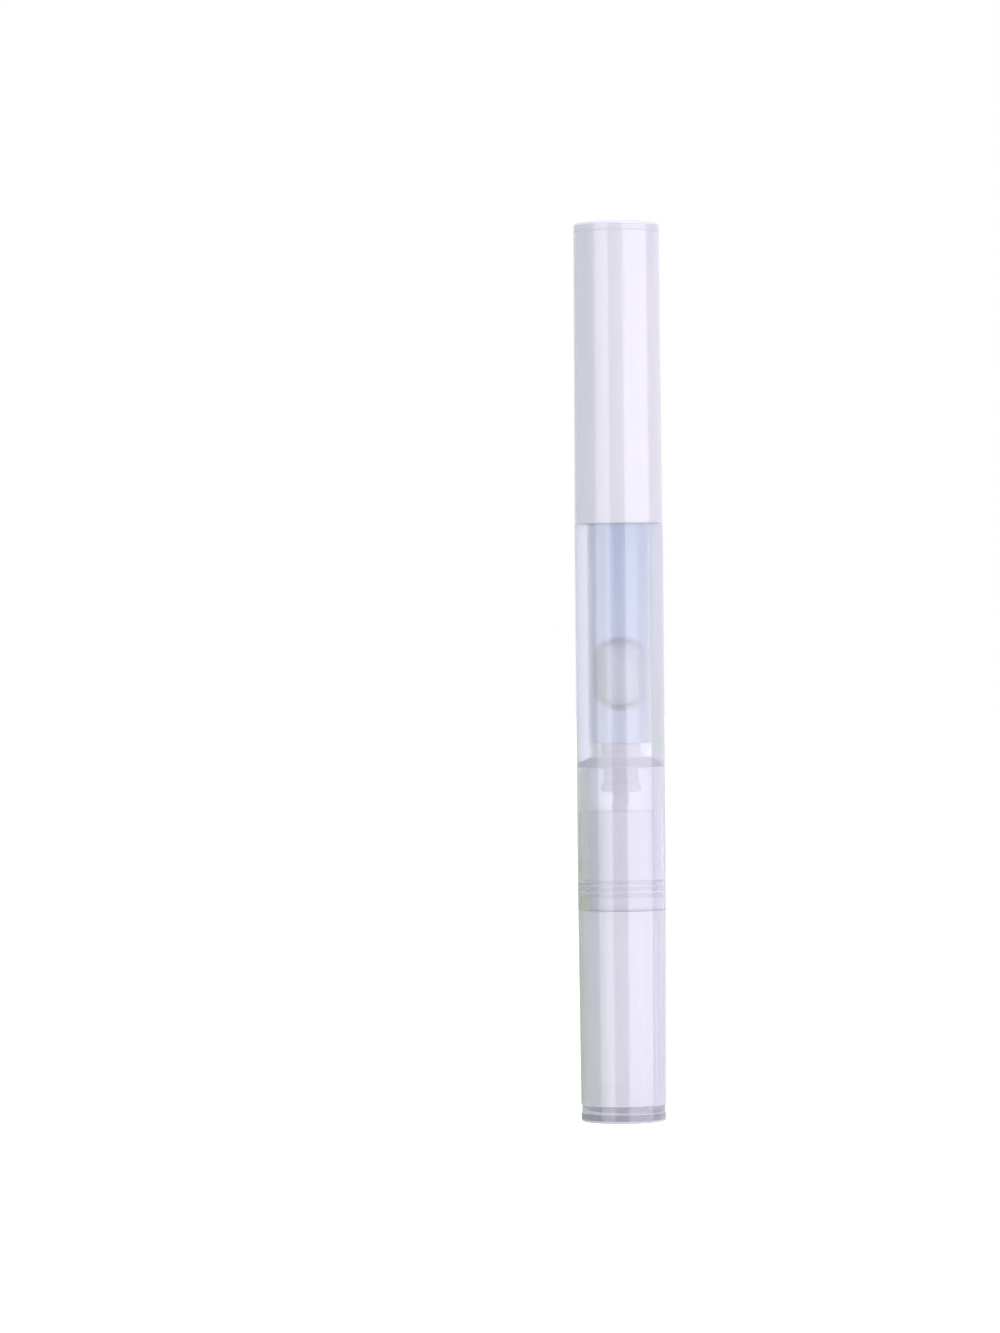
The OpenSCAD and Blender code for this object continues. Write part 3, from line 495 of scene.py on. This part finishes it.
def moulded_silicone():
    """Silicone rubber, compression moulded."""
    # The soft seal looks frosty and slightly sticky, with a wide dim shine.
    material, tree = new_tree("clear_silicone_rubber")
    # Its bloom is a thin film that gathers in patches 0.8 mm wide.
    bloom = mottle(tree, 0.8, 3)
    colour = add(tree, "ShaderNodeMix", {"Factor": bloom, "A": linear("EDF1F8"),
                                         "B": linear("E0E5F0")}, data_type="RGBA")
    frosty = add(tree, "ShaderNodeMapRange", {"Value": bloom, "From Min": NOISE_LOW,
                                              "From Max": NOISE_HIGH, "To Min": 0.3, "To Max": 0.45})
    shader = add(tree, "ShaderNodeBsdfPrincipled", {
        "Base Color": colour, "Roughness": frosty, "IOR": 1.41, "Transmission Weight": 0.55})
    add(tree, "ShaderNodeOutputMaterial", {"Surface": shader})
    return material


def extruded_polyethylene():
    """Polyethylene tube, extruded and cut to length."""
    # Draw lines from the die run along it and break its clear shine into streaks.
    material, tree = new_tree("extruded_polyethylene")
    # Real draw lines are 0.01 mm apart, so they are drawn 0.12 mm apart.
    lines = mottle(tree, 0.12, 1, (1, 1, 0.02))
    colour = add(tree, "ShaderNodeMix", {"Factor": lines, "A": linear("F7F7FB"),
                                         "B": linear("E9EAF2")}, data_type="RGBA")
    streaks = add(tree, "ShaderNodeMapRange", {"Value": lines, "From Min": NOISE_LOW,
                                               "From Max": NOISE_HIGH, "To Min": 0.15, "To Max": 0.3})
    shader = add(tree, "ShaderNodeBsdfPrincipled", {
        "Base Color": colour, "Roughness": streaks, "IOR": 1.52, "Transmission Weight": 0.6,
        "Normal": add(tree, "ShaderNodeBump", {"Height": lines, "Distance": 0.003 * MM})})
    add(tree, "ShaderNodeOutputMaterial", {"Surface": shader})
    return material


def drawn_nylon():
    """Nylon filament, drawn, waxed and cut."""
    # Each bristle is a warm white hair with a silky streak along it, and the tuft darkens by strands.
    material, tree = new_tree("drawn_nylon_filament")
    # A bristle is 0.08 mm thick, and strands of about four look alike.
    strands = mottle(tree, 0.3, 2, (1, 1, 0.03))
    colour = add(tree, "ShaderNodeMix", {"Factor": strands, "A": linear("FFFEFB"),
                                         "B": linear("EFEBE3")}, data_type="RGBA")
    silky = add(tree, "ShaderNodeMapRange", {"Value": strands, "From Min": NOISE_LOW,
                                             "From Max": NOISE_HIGH, "To Min": 0.25, "To Max": 0.45})
    shader = add(tree, "ShaderNodeBsdfPrincipled", {
        "Base Color": colour, "Roughness": silky, "IOR": 1.53, "Transmission Weight": 0.15})
    add(tree, "ShaderNodeOutputMaterial", {"Surface": shader})
    return material


def dyed_mineral_oil(low, high):
    """Mineral oil with a blue dye, filled warm, between two heights."""
    # It is clear and still. Its dye deepens with the depth that light crosses, and its top is bluest.
    material, tree = new_tree("blue_mineral_oil")
    place = add(tree, "ShaderNodeTexCoord").outputs["Object"]
    side, _, height = add(tree, "ShaderNodeSeparateXYZ", [place]).outputs
    # The dye hangs in clouds some millimetres across where it has not quite mixed in.
    cloud_height = 4 * MM
    cloud = add(tree, "ShaderNodeMath", [mottle(tree, 5), cloud_height, height],
                operation="MULTIPLY_ADD")
    rise = add(tree, "ShaderNodeMapRange", {"Value": cloud, "From Min": low * MM,
                                            "From Max": high * MM})
    # Painted light: the blue is painted right of the middle, and the oil's left side is painted nearly
    # colourless where the left lamp shines through the column.
    painted_side_edge, painted_side_full = -2.4 * MM, -0.4 * MM
    painted_side_mask = add(tree, "ShaderNodeMapRange", {"Value": side, "From Min": painted_side_edge,
                                             "From Max": painted_side_full}, interpolation_type="SMOOTHSTEP")
    # The first colour is the painted pale of the lit left side, and the second is the blue of the right
    # side.
    thin = add(tree, "ShaderNodeMix", {"Factor": rise, "A": linear("FCFAFD"), "B": linear("F6F4FA")},
               data_type="RGBA")
    deep = add(tree, "ShaderNodeMix", {"Factor": rise, "A": linear("FAF8FC"), "B": linear("B2D0EA")},
               data_type="RGBA")
    colour = add(tree, "ShaderNodeMix", {"Factor": painted_side_mask, "A": thin, "B": deep}, data_type="RGBA")
    # Fine froth coats the bubble and the ends, inside the wetted wall, so they look soft and creamy.
    froth_start, froth_roughness = 0.04, 0.4
    flat = add(tree, "ShaderNodeVectorMath", [place, (1, 1, 0)], operation="MULTIPLY")
    radius = add(tree, "ShaderNodeVectorMath", [flat], operation="LENGTH")
    froth = add(tree, "ShaderNodeMapRange", {"Value": radius, "From Min": OIL_R * MM,
                                             "From Max": (OIL_R - froth_start) * MM})
    colour = add(tree, "ShaderNodeMix", {"Factor": froth, "A": colour, "B": linear("FFFDFB")},
                 data_type="RGBA")
    soft = add(tree, "ShaderNodeMath", [froth, froth_roughness], operation="MULTIPLY")
    shader = add(tree, "ShaderNodeBsdfPrincipled", {
        "Base Color": colour, "Roughness": soft, "IOR": 1.46, "Transmission Weight": 1.0})
    dye = add(tree, "ShaderNodeVolumeAbsorption", {"Color": linear("8CC8F0"), "Density": 70.0})
    add(tree, "ShaderNodeOutputMaterial", {"Surface": shader, "Volume": dye})
    return material


# Clear is the share of light that a polished wall lets through, and haze is how much it blurs.
BARREL_SAN = polished_san("lavender_san_barrel", "F9F7FF", "F2F0FD", clear=0.76, haze=0.14)
KNOB_SAN = polished_san("lavender_san_knob", "F9F7FE", "F2F0FC", clear=0.5, haze=0.12)
CAP_SAN = polished_san("lavender_san_cap", "F9F6FB", "F2EFF8", clear=0.42, haze=0.15)
DISC_SAN = polished_san("lavender_san_disc", "F4F1FA", "ECE9F5", clear=0.35, haze=0.18)
# The plug's plastic is tinted darker than the knob's as painted shade, for the dark band that the
# groove's shadow makes.
SHADED_PLUG_SAN = polished_san("lavender_san_plug_painted_shade", "DDDAE8", "D3D0DF", clear=0.65, haze=0.13)
LINER_PP = moulded_polypropylene("natural_polypropylene", "FCFBFF", "F6F5FC", clear=0.5)
NOZZLE_PP = moulded_polypropylene("milky_polypropylene", "D2D1DA", "C7C6D1", clear=0.0)
FERRULE_PP = moulded_polypropylene("grey_polypropylene", "DADCE6", "CFD1DD", clear=0.0)
WORKS_ACETAL = natural_acetal("natural_acetal", "FCFCFE", "F7F7FB")
ROD_ACETAL = natural_acetal("white_acetal", "FDFDFE", "F6F6FA")
PISTON_PE = soft_polyethylene()
SEAL_SILICONE = moulded_silicone()
TUBE_PE = extruded_polyethylene()
BRISTLE_NYLON = drawn_nylon()
OIL = dyed_mineral_oil(OIL_Z, OIL_TOP)


# Pieces
# Sizes that two pieces share
SNAP_Z = NECK_TOP - 2.3
KNOB_BORE = 4.7
PLUG_BEAD = {"height": 0.12, "z": KNOB_Z + 1.4, "width": 0.6}
STEM_R = 1.6
ROD_NECK_R = 0.9
ROD_TIP_R, ROD_TIP_H = 1.3, 1.2


def cap_shell():
    """The cap's tube, with a groove inside that snaps over the neck's bead."""
    bore = LINER_R + PRESS_GAP
    relief = 0.15
    groove_depth, groove_w = 0.08, 1.6
    mesh = turned([
        (bore + relief, CAP_Z, FINE_EDGE), (CAP_R, CAP_Z, TIGHT_EDGE),
        (END_R, CAP_END - FACE_GAP, TIGHT_EDGE), (bore, CAP_END - FACE_GAP, FINE_EDGE),
        *bead(bore, groove_depth, SNAP_Z, groove_w)[::-1], (bore, CAP_Z + relief, FINE_EDGE)], CAP_SAN)
    return shown("cap_shell", mesh, "cap", "shell_plastic", "cap")


def cap_disc():
    """The disc that closes the cap, with a hollow spigot under it."""
    spigot_wall, spigot_len = 0.9, 2.0
    rim_edge = 0.4
    hollow_r = LINER_R - spigot_wall
    bottom = CAP_END - spigot_len
    mesh = turned([
        (0, CAP_END, 0), (hollow_r, CAP_END, 0.2), (hollow_r, bottom, 0.1), (LINER_R, bottom, 0.15),
        (LINER_R, CAP_END, 0), (END_R, CAP_END, TIGHT_EDGE), (END_R, PEN_TOP, rim_edge),
        *gate_mark(PEN_TOP, -1)], DISC_SAN)
    return shown("cap_disc", mesh, "cap", "end_plastic", "cap_top")


def liner_tube():
    """The inner tube of the cap, held by a collar at each end. It closes on the nozzle."""
    bore, tube_r, collar, roof = 4.1, 4.8, 1.9, 1.2
    mesh = turned([
        (0, LINER_TOP - roof, 0), (bore, LINER_TOP - roof, 0.4), (bore, LINER_Z, 0.15),
        (LINER_R, LINER_Z, 0.15), (LINER_R, LINER_Z + collar, 0.1), (tube_r, LINER_Z + collar, 0.2),
        (tube_r, LINER_TOP - collar, 0.2), (LINER_R, LINER_TOP - collar, 0.1),
        (LINER_R, LINER_TOP, 0.15), (0, LINER_TOP, 0)], LINER_PP)
    return shown("liner_tube", mesh, "cap", "liner_plastic", "cap_liner")


def barrel_shell():
    """The barrel: a neck, a bore for the oil, and a wide bay with two keyways and barb grooves."""
    shoulder = CAP_Z - SEAM_GAP
    foot = KNOB_SEAM + SEAM_GAP / 2
    nozzle_step = 0.2
    neck_r = NOZZLE_R + nozzle_step
    snap_h, snap_w = 0.1, 0.8
    socket_r = SEAL_R + SLIP
    bore = OIL_R + FACE_GAP
    piston_stand, lead_in = 2.1, 1.4
    bay_r = NUT_R + PRESS_GAP
    bay_top = PISTON_TOP - piston_stand
    keyway_w, keyway_h = 1.2, 0.4
    keyway_top = NUT_TOP + SLIP
    # The wall is whole again a hair over the keyways' top.
    hair = 0.001
    barb_first, barb_step, barb_w, barb_h, barb_room = 2.0, 0.95, 0.4, 0.16, 0.14
    groove_r = bay_r + barb_h + barb_room
    barbs = []
    for i in (2, 1, 0):
        low = BARREL_Z + barb_first + barb_step * i - PRESS_GAP
        high = low + barb_w + 2 * PRESS_GAP
        barbs += [(bay_r, high, 0.05, 1), (groove_r, high, 0.12, 1), (groove_r, low, 0.12, 1),
                  (bay_r, low, 0.05, 1)]
    mesh = turned([
        (bay_r, foot, 0, 1), (BARREL_R, foot, TIGHT_EDGE), (BARREL_R, shoulder, TIGHT_EDGE),
        (neck_r, shoulder, SOFT_EDGE), *bead(neck_r, snap_h, SNAP_Z, snap_w),
        (neck_r, NECK_TOP, 0.15), (socket_r, NECK_TOP, FINE_EDGE), (socket_r, SEAL_Z, FINE_EDGE),
        (bore, SEAL_Z, FINE_EDGE), (bore, bay_top, 0.4), (bay_r, bay_top - lead_in, 0.3),
        (bay_r, keyway_top + hair, 0), (bay_r, keyway_top, 0, 1), *barbs],
        BARREL_SAN, around=240, channels=2, channel_w=keyway_w, channel_r=bay_r + keyway_h)
    return shown("barrel_shell", mesh, "barrel", "shell_plastic", "barrel")


def knob_shell():
    """The knob: a tube whose bore has ribs that turn the drive sleeve."""
    rib_h, rib_count, channel_w = 0.3, 24, 0.7
    rib_r = KNOB_BORE - rib_h
    counterbore = SLEEVE_FLANGE_R + SLIP
    counterbore_depth = 0.9
    floor_z = KNOB_TOP - counterbore_depth
    top = KNOB_SEAM - SEAM_GAP / 2
    mesh = turned([
        (KNOB_BORE, KNOB_Z, FINE_EDGE), (END_R, KNOB_Z, SOFT_EDGE), (KNOB_R, top, TIGHT_EDGE),
        (counterbore, top, FINE_EDGE), (counterbore, floor_z, 0), (rib_r, floor_z, 0, 1),
        (rib_r, PLUG_TOP, 0, 1), (KNOB_BORE, PLUG_TOP, 0), *bead(KNOB_BORE, **PLUG_BEAD)[::-1]],
        KNOB_SAN, around=480, channels=rib_count, channel_w=channel_w, channel_r=KNOB_BORE)
    return shown("knob_shell", mesh, "knob", "shell_plastic", "knob")


def plug_disc():
    """The end plug: a flange that the pen stands on, a groove, and a hollow spigot with a bead."""
    groove_depth, wall, flange_h = 0.12, 0.9, 1.4
    groove_r = FLANGE_R - groove_depth
    spigot_r = KNOB_BORE - PRESS_GAP
    seat = KNOB_Z - FACE_GAP
    mesh = turned([
        *gate_mark(0, 1)[::-1], (FLANGE_R, 0, 0.4), (FLANGE_R, flange_h, SOFT_EDGE),
        (groove_r, flange_h, 0.04), (groove_r, seat, 0.04), (spigot_r, seat, 0),
        *bead(spigot_r, **PLUG_BEAD), (spigot_r, PLUG_TOP, 0.2),
        (spigot_r - wall, PLUG_TOP, 0.1), (spigot_r - wall, flange_h, 0.3), (0, flange_h, 0)], SHADED_PLUG_SAN)
    return shown("plug_disc", mesh, "knob", "end_plastic", "end_plug")


def oil_column():
    """The oil wets the bore, so it reaches a hair into the wall, and an air bubble hangs in it."""
    wet = 0.04
    column = turned([
        (0, OIL_Z, 0), (OIL_R + wet, OIL_Z, 0.1), (OIL_R + wet, OIL_TOP, 0.1), (0, OIL_TOP, 0)], OIL)
    bubble_r, low, high, aside = 2.8, 60.8, 71.8, 0.1
    bubble = turned([
        (0, low, 0), (bubble_r, low, bubble_r), (bubble_r, high, bubble_r), (0, high, 0)], OIL,
        around=96, corner=24)
    bubble.transform(Matrix.Translation((aside * MM, 0, 0)))
    bubble.flip_normals()
    piece = shown("oil_column", joined(column, bubble), "barrel", "nail_oil", "oil_fill")
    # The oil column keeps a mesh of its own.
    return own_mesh(piece)


def rod_thread():
    """The screw rod: a stop at its foot, a knuckle thread, and a tip that clips in the piston."""
    stop_h, core, eccentricity, pitch, half_flat = 1.0, 1.25, 0.2, 3.0, 0.92
    thread_in_piston = 0.6
    foot, thread_top = ROD_Z + stop_h, PISTON_Z + thread_in_piston
    thread = grown(bpy.data.meshes.new("none"), THREAD, {
        "Core Radius": core * MM, "Eccentricity": eccentricity * MM, "Pitch": pitch * MM,
        "Half Flat": half_flat * MM, "Middle": (foot + thread_top) / 2 * MM,
        "Length": (thread_top - foot + 2 * SLIP) * MM, "Sides": 49, "Rings": 380,
        "Material": ROD_ACETAL})
    stop = turned([(0, ROD_Z, 0), (ROD_R, ROD_Z, 0.15), (ROD_R, foot, 0.15), (0, foot, 0)],
                  ROD_ACETAL, around=64)
    tip_z = ROD_TOP - ROD_TIP_H
    straight_share = 0.6
    tip = turned([
        (0, thread_top, 0), (ROD_NECK_R, thread_top, 0), (ROD_NECK_R, tip_z, 0),
        (ROD_TIP_R, tip_z, 0.1), (ROD_TIP_R, tip_z + straight_share * ROD_TIP_H, 0.1),
        (ROD_NECK_R, ROD_TOP, 0.1), (0, ROD_TOP, 0)], ROD_ACETAL, around=48)
    return shown("rod_thread", joined(thread, stop, tip), "rod", "rod_plastic", "screw_rod")


def piston_seal():
    """The piston: two lips that wipe the bore, a middle ring, and a socket for the rod's tip."""
    waist_depth, lip, edge = 0.36, 1.2, 0.2
    waist, ring_r = PISTON_R - waist_depth, PISTON_R - edge
    mouth, mouth_len = 1.6, 1.7
    throat, room = ROD_NECK_R + SLIP, ROD_TIP_R + SLIP
    room_top, room_z = ROD_TOP + SLIP, ROD_TOP - ROD_TIP_H - SLIP
    mesh = turned([
        (0, room_top, 0), (room, room_top, 0.1), (room, room_z, 0.1), (throat, room_z, 0.1),
        (throat, PISTON_Z + mouth_len, 0.1), (mouth, PISTON_Z + mouth_len, 0.1),
        (mouth, PISTON_Z, 0.1), (PISTON_R, PISTON_Z, 0.3), (PISTON_R, PISTON_Z + lip, 0.15),
        (waist, PISTON_Z + lip, 0.3), (waist, PISTON_TOP - 3 * lip, 0.3),
        (ring_r, PISTON_TOP - 3 * lip, 0.3), (ring_r, PISTON_TOP - 2 * lip, 0.3),
        (waist, PISTON_TOP - 2 * lip, 0.3), (waist, PISTON_TOP - lip, 0.3),
        (PISTON_R, PISTON_TOP - lip, 0.15), (PISTON_R, PISTON_TOP, 0.3), (0, PISTON_TOP, 0)],
        PISTON_PE, around=120)
    return shown("piston_seal", mesh, "piston", "piston_plastic", "piston")


def stem_seal():
    """The seal behind the nozzle: a flange with a stem that grips the feed tube."""
    hole, flange_h = TUBE_R + PRESS_GAP, 1.0
    flange_top = SEAL_Z + flange_h
    mesh = turned([
        (hole, SEAL_Z, 0.05), (SEAL_R, SEAL_Z, 0.15), (SEAL_R, flange_top, 0.15),
        (STEM_R, flange_top, 0.2), (STEM_R, SEAL_TOP, 0.15), (hole, SEAL_TOP, 0.05)],
        SEAL_SILICONE, around=96)
    return shown("stem_seal", mesh, "barrel", "seal_rubber", "nozzle_seal")


def oil_tube():
    """The feed tube that carries the oil to the brush."""
    bore = 0.3
    mesh = turned([
        (bore, TUBE_Z, 0.04), (TUBE_R, TUBE_Z, 0.06), (TUBE_R, TUBE_TOP, 0.06), (bore, TUBE_TOP, 0.04)],
        TUBE_PE, around=48)
    return shown("oil_tube", mesh, "barrel", "tube_plastic", "feed_tube")


def nozzle_cone():
    """The nozzle: a base ring on the neck, a body, a cone, and an inner core round the seal's stem."""
    stem_hole = STEM_R + PRESS_GAP
    core_r, spigot_in, spigot_r, core_top = 2.43, 3.17, 3.97, 101.5
    base_h, body_r, body_top, cone_step, tip_r = 1.0, 4.0, 103.0, 0.3, 2.4
    base_z, base_top = NECK_TOP + FACE_GAP, NECK_TOP + base_h
    socket_r, tube_hole = FERRULE_R + PRESS_GAP, TUBE_R + PRESS_GAP
    stem_top = SEAL_TOP + PRESS_GAP
    mesh = turned([
        (stem_hole, NOZZLE_Z, 0.1), (core_r, NOZZLE_Z, 0.1), (core_r, core_top, 0.2),
        (spigot_in, core_top, 0.2), (spigot_in, NOZZLE_Z, 0.1), (spigot_r, NOZZLE_Z, 0.15),
        (spigot_r, base_z, 0), (NOZZLE_R, base_z, 0.15), (NOZZLE_R, base_top, 0.25),
        (body_r, base_top, 0.2), (body_r, body_top - cone_step, 0.4),
        (body_r - cone_step, body_top, 0.4), (tip_r, NOZZLE_TOP, 0.25), (socket_r, NOZZLE_TOP, 0.1),
        (socket_r, FERRULE_Z, 0.05), (tube_hole, FERRULE_Z, 0.05), (tube_hole, stem_top, 0.03),
        (stem_hole, stem_top, 0.1)], NOZZLE_PP)
    return shown("nozzle_cone", mesh, "barrel", "liner_plastic", "nozzle")


def brush_sleeve():
    """The sleeve that holds the brush, pinched in by a crimp near its mouth."""
    wall = 0.35
    crimp_drop, crimp_depth, crimp_w = 1.6, 0.08, 0.6
    mesh = turned([
        (FERRULE_R - wall, FERRULE_Z, 0.05), (FERRULE_R, FERRULE_Z, 0.1),
        *bead(FERRULE_R, -crimp_depth, FERRULE_TOP - crimp_drop, crimp_w),
        (FERRULE_R, FERRULE_TOP, 0.15), (FERRULE_R - wall, FERRULE_TOP, 0.1)], FERRULE_PP, around=96)
    return shown("brush_sleeve", mesh, "barrel", "ferrule_plastic", "brush_ferrule")


def brush_tuft():
    """The brush: fine bristles, one by one, round the feed tube's mouth."""
    belly_rise = 3.5
    mesh = grown(bpy.data.meshes.new("none"), TUFT, {
        "Bristles": 900, "Bristle Radius": 0.042 * MM, "Hole Radius": 0.62 * MM,
        "Root Radius": 1.3 * MM, "Foot": FERRULE_Z * MM, "Mouth": FERRULE_TOP * MM,
        "Belly": (FERRULE_TOP + belly_rise) * MM, "Top": TUFT_TOP * MM, "Belly Swell": 1.25,
        "Point Share": 0.12, "Tip Drop": 2.6 * MM, "Stray": 0.08 * MM, "Seed": 7,
        "Material": BRISTLE_NYLON}, sharp_degrees=80)
    return shown("brush_tuft", mesh, "barrel", "bristle_nylon", "bristles")


for make in (cap_shell, cap_disc, liner_tube, barrel_shell, knob_shell, plug_disc, oil_column,
             rod_thread, piston_seal, stem_seal, oil_tube, nozzle_cone, brush_sleeve, brush_tuft):
    make()

# The rest of the works shows as the CAD made it.
for node_name in ("drive_sleeve", "click_ring", "rear_bush", "ratchet_ring", "thread_nut"):
    worn = NODES[node_name].data.materials
    worn.clear()
    worn.append(WORKS_ACETAL)


# Studio
# How strongly the room lights the pen. The camera itself sees the room at a strength of 1.
ROOM_LIGHT = 1.04


def studio():
    """A white room with a dimmer ceiling. Its left side turns from grey to green on the way down.

    The camera sees it plain white, and its colours are for gloss, clear plastic and soft light. The
    limits are parts of a direction one long, from -1 to 1.
    """
    world = bpy.data.worlds.new("white_studio")
    bpy.context.scene.world = world
    world.use_nodes = True
    tree = world.node_tree
    tree.nodes.clear()
    away = add(tree, "ShaderNodeTexCoord").outputs["Generated"]
    x, y, z = add(tree, "ShaderNodeSeparateXYZ", [away]).outputs
    # The grey side reaches further round behind the pen than before it.
    behind = add(tree, "ShaderNodeMath", [y, 0], operation="MAXIMUM")
    toward = add(tree, "ShaderNodeMath", [behind, -0.35, x], operation="MULTIPLY_ADD")
    left = add(tree, "ShaderNodeMapRange", {"Value": toward, "From Min": -0.45, "From Max": -0.85},
               interpolation_type="SMOOTHSTEP")
    low = add(tree, "ShaderNodeMapRange", {"Value": z, "From Min": 0.0, "From Max": -0.06})
    right = add(tree, "ShaderNodeMapRange", {"Value": x, "From Min": 0.3, "From Max": 0.9})
    above = add(tree, "ShaderNodeMapRange", {"Value": z, "From Min": 0.25, "From Max": 0.75})
    grey = add(tree, "ShaderNodeMix", {"Factor": low, "A": linear("D2DDE2"), "B": linear("96AD58")},
               data_type="RGBA")
    walls = add(tree, "ShaderNodeMix", {"Factor": left, "A": linear("FFFFFF"), "B": grey},
                data_type="RGBA")
    walls = add(tree, "ShaderNodeMix", {"Factor": right, "A": walls, "B": linear("F2EEFF")},
                data_type="RGBA")
    walls = add(tree, "ShaderNodeMix", {"Factor": above, "A": walls, "B": linear("D0CFDB")},
                data_type="RGBA")
    camera_ray = add(tree, "ShaderNodeLightPath").outputs["Is Camera Ray"]
    colour = add(tree, "ShaderNodeMix", {"Factor": camera_ray, "A": walls, "B": linear("FFFFFF")},
                 data_type="RGBA")
    strength = add(tree, "ShaderNodeMix", {"Factor": camera_ray, "A": ROOM_LIGHT, "B": 1.0})
    glow = add(tree, "ShaderNodeBackground", {"Color": colour, "Strength": strength})
    add(tree, "ShaderNodeOutputWorld", {"Surface": glow})


def soft_box(name, azimuth, width, height, distance, radiance):
    """A rectangular lamp that faces the pen's middle. Azimuth is in degrees to the camera's right."""
    lamp = bpy.data.lights.new(name, "AREA")
    lamp.shape = "RECTANGLE"
    lamp.size = width
    lamp.size_y = height
    lamp.energy = radiance * math.pi * width * height
    holder = bpy.data.objects.new(name, lamp)
    bpy.context.scene.collection.objects.link(holder)
    turn = math.radians(azimuth)
    holder.location = (distance * math.sin(turn), -distance * math.cos(turn), PEN_TOP / 2 * MM)
    holder.rotation_euler = (math.radians(90), 0, turn)
    holder.visible_camera = False
    return holder


def floor():
    """A matte white board. Gloss and clear plastic see past it, so the pen's foot keeps its bands."""
    radius, glow_share = 6, 0.8
    mesh = bpy.data.meshes.new("floor")
    disc = bmesh.new()
    bmesh.ops.create_circle(disc, cap_ends=True, segments=64, radius=radius)
    disc.to_mesh(mesh)
    disc.free()
    piece = bpy.data.objects.new("floor", mesh)
    bpy.context.scene.collection.objects.link(piece)
    # It also glows to the camera, so that it is as white as the room behind it.
    material, tree = new_tree("pale_floor")
    camera_ray = add(tree, "ShaderNodeLightPath").outputs["Is Camera Ray"]
    lift = add(tree, "ShaderNodeMath", [camera_ray, glow_share], operation="MULTIPLY")
    matte = add(tree, "ShaderNodeBsdfDiffuse", {"Color": linear("F2F2F5")})
    glow = add(tree, "ShaderNodeEmission", {"Color": linear("FFFFFF"), "Strength": lift})
    add(tree, "ShaderNodeOutputMaterial", {"Surface": add(tree, "ShaderNodeAddShader", [matte, glow])})
    mesh.materials.append(material)
    piece.visible_glossy = False
    piece.visible_transmission = False
    return piece


def camera():
    """Level with the pen's middle, three quarters of a metre away. The pen stands right of centre."""
    distance, frame_height, aside, middle, roll = 0.75, 0.1977, 0.0178, 0.0675, -0.51
    lens = bpy.data.cameras.new("camera")
    lens.sensor_width = 36
    lens.lens = lens.sensor_width * distance / frame_height
    holder = bpy.data.objects.new("camera", lens)
    bpy.context.scene.collection.objects.link(holder)
    level = Matrix.Rotation(math.radians(90), 4, "X") @ Matrix.Rotation(math.radians(roll), 4, "Z")
    holder.matrix_world = Matrix.Translation((-aside, -distance, middle)) @ level
    bpy.context.scene.camera = holder


studio()
soft_box("soft_box_right", azimuth=50, width=0.85, height=0.75, distance=0.6, radiance=1.6)
soft_box("soft_box_left", azimuth=-44, width=0.42, height=0.75, distance=0.6, radiance=1.4)
floor()
camera()

bpy.context.scene.view_settings.view_transform = "Standard"
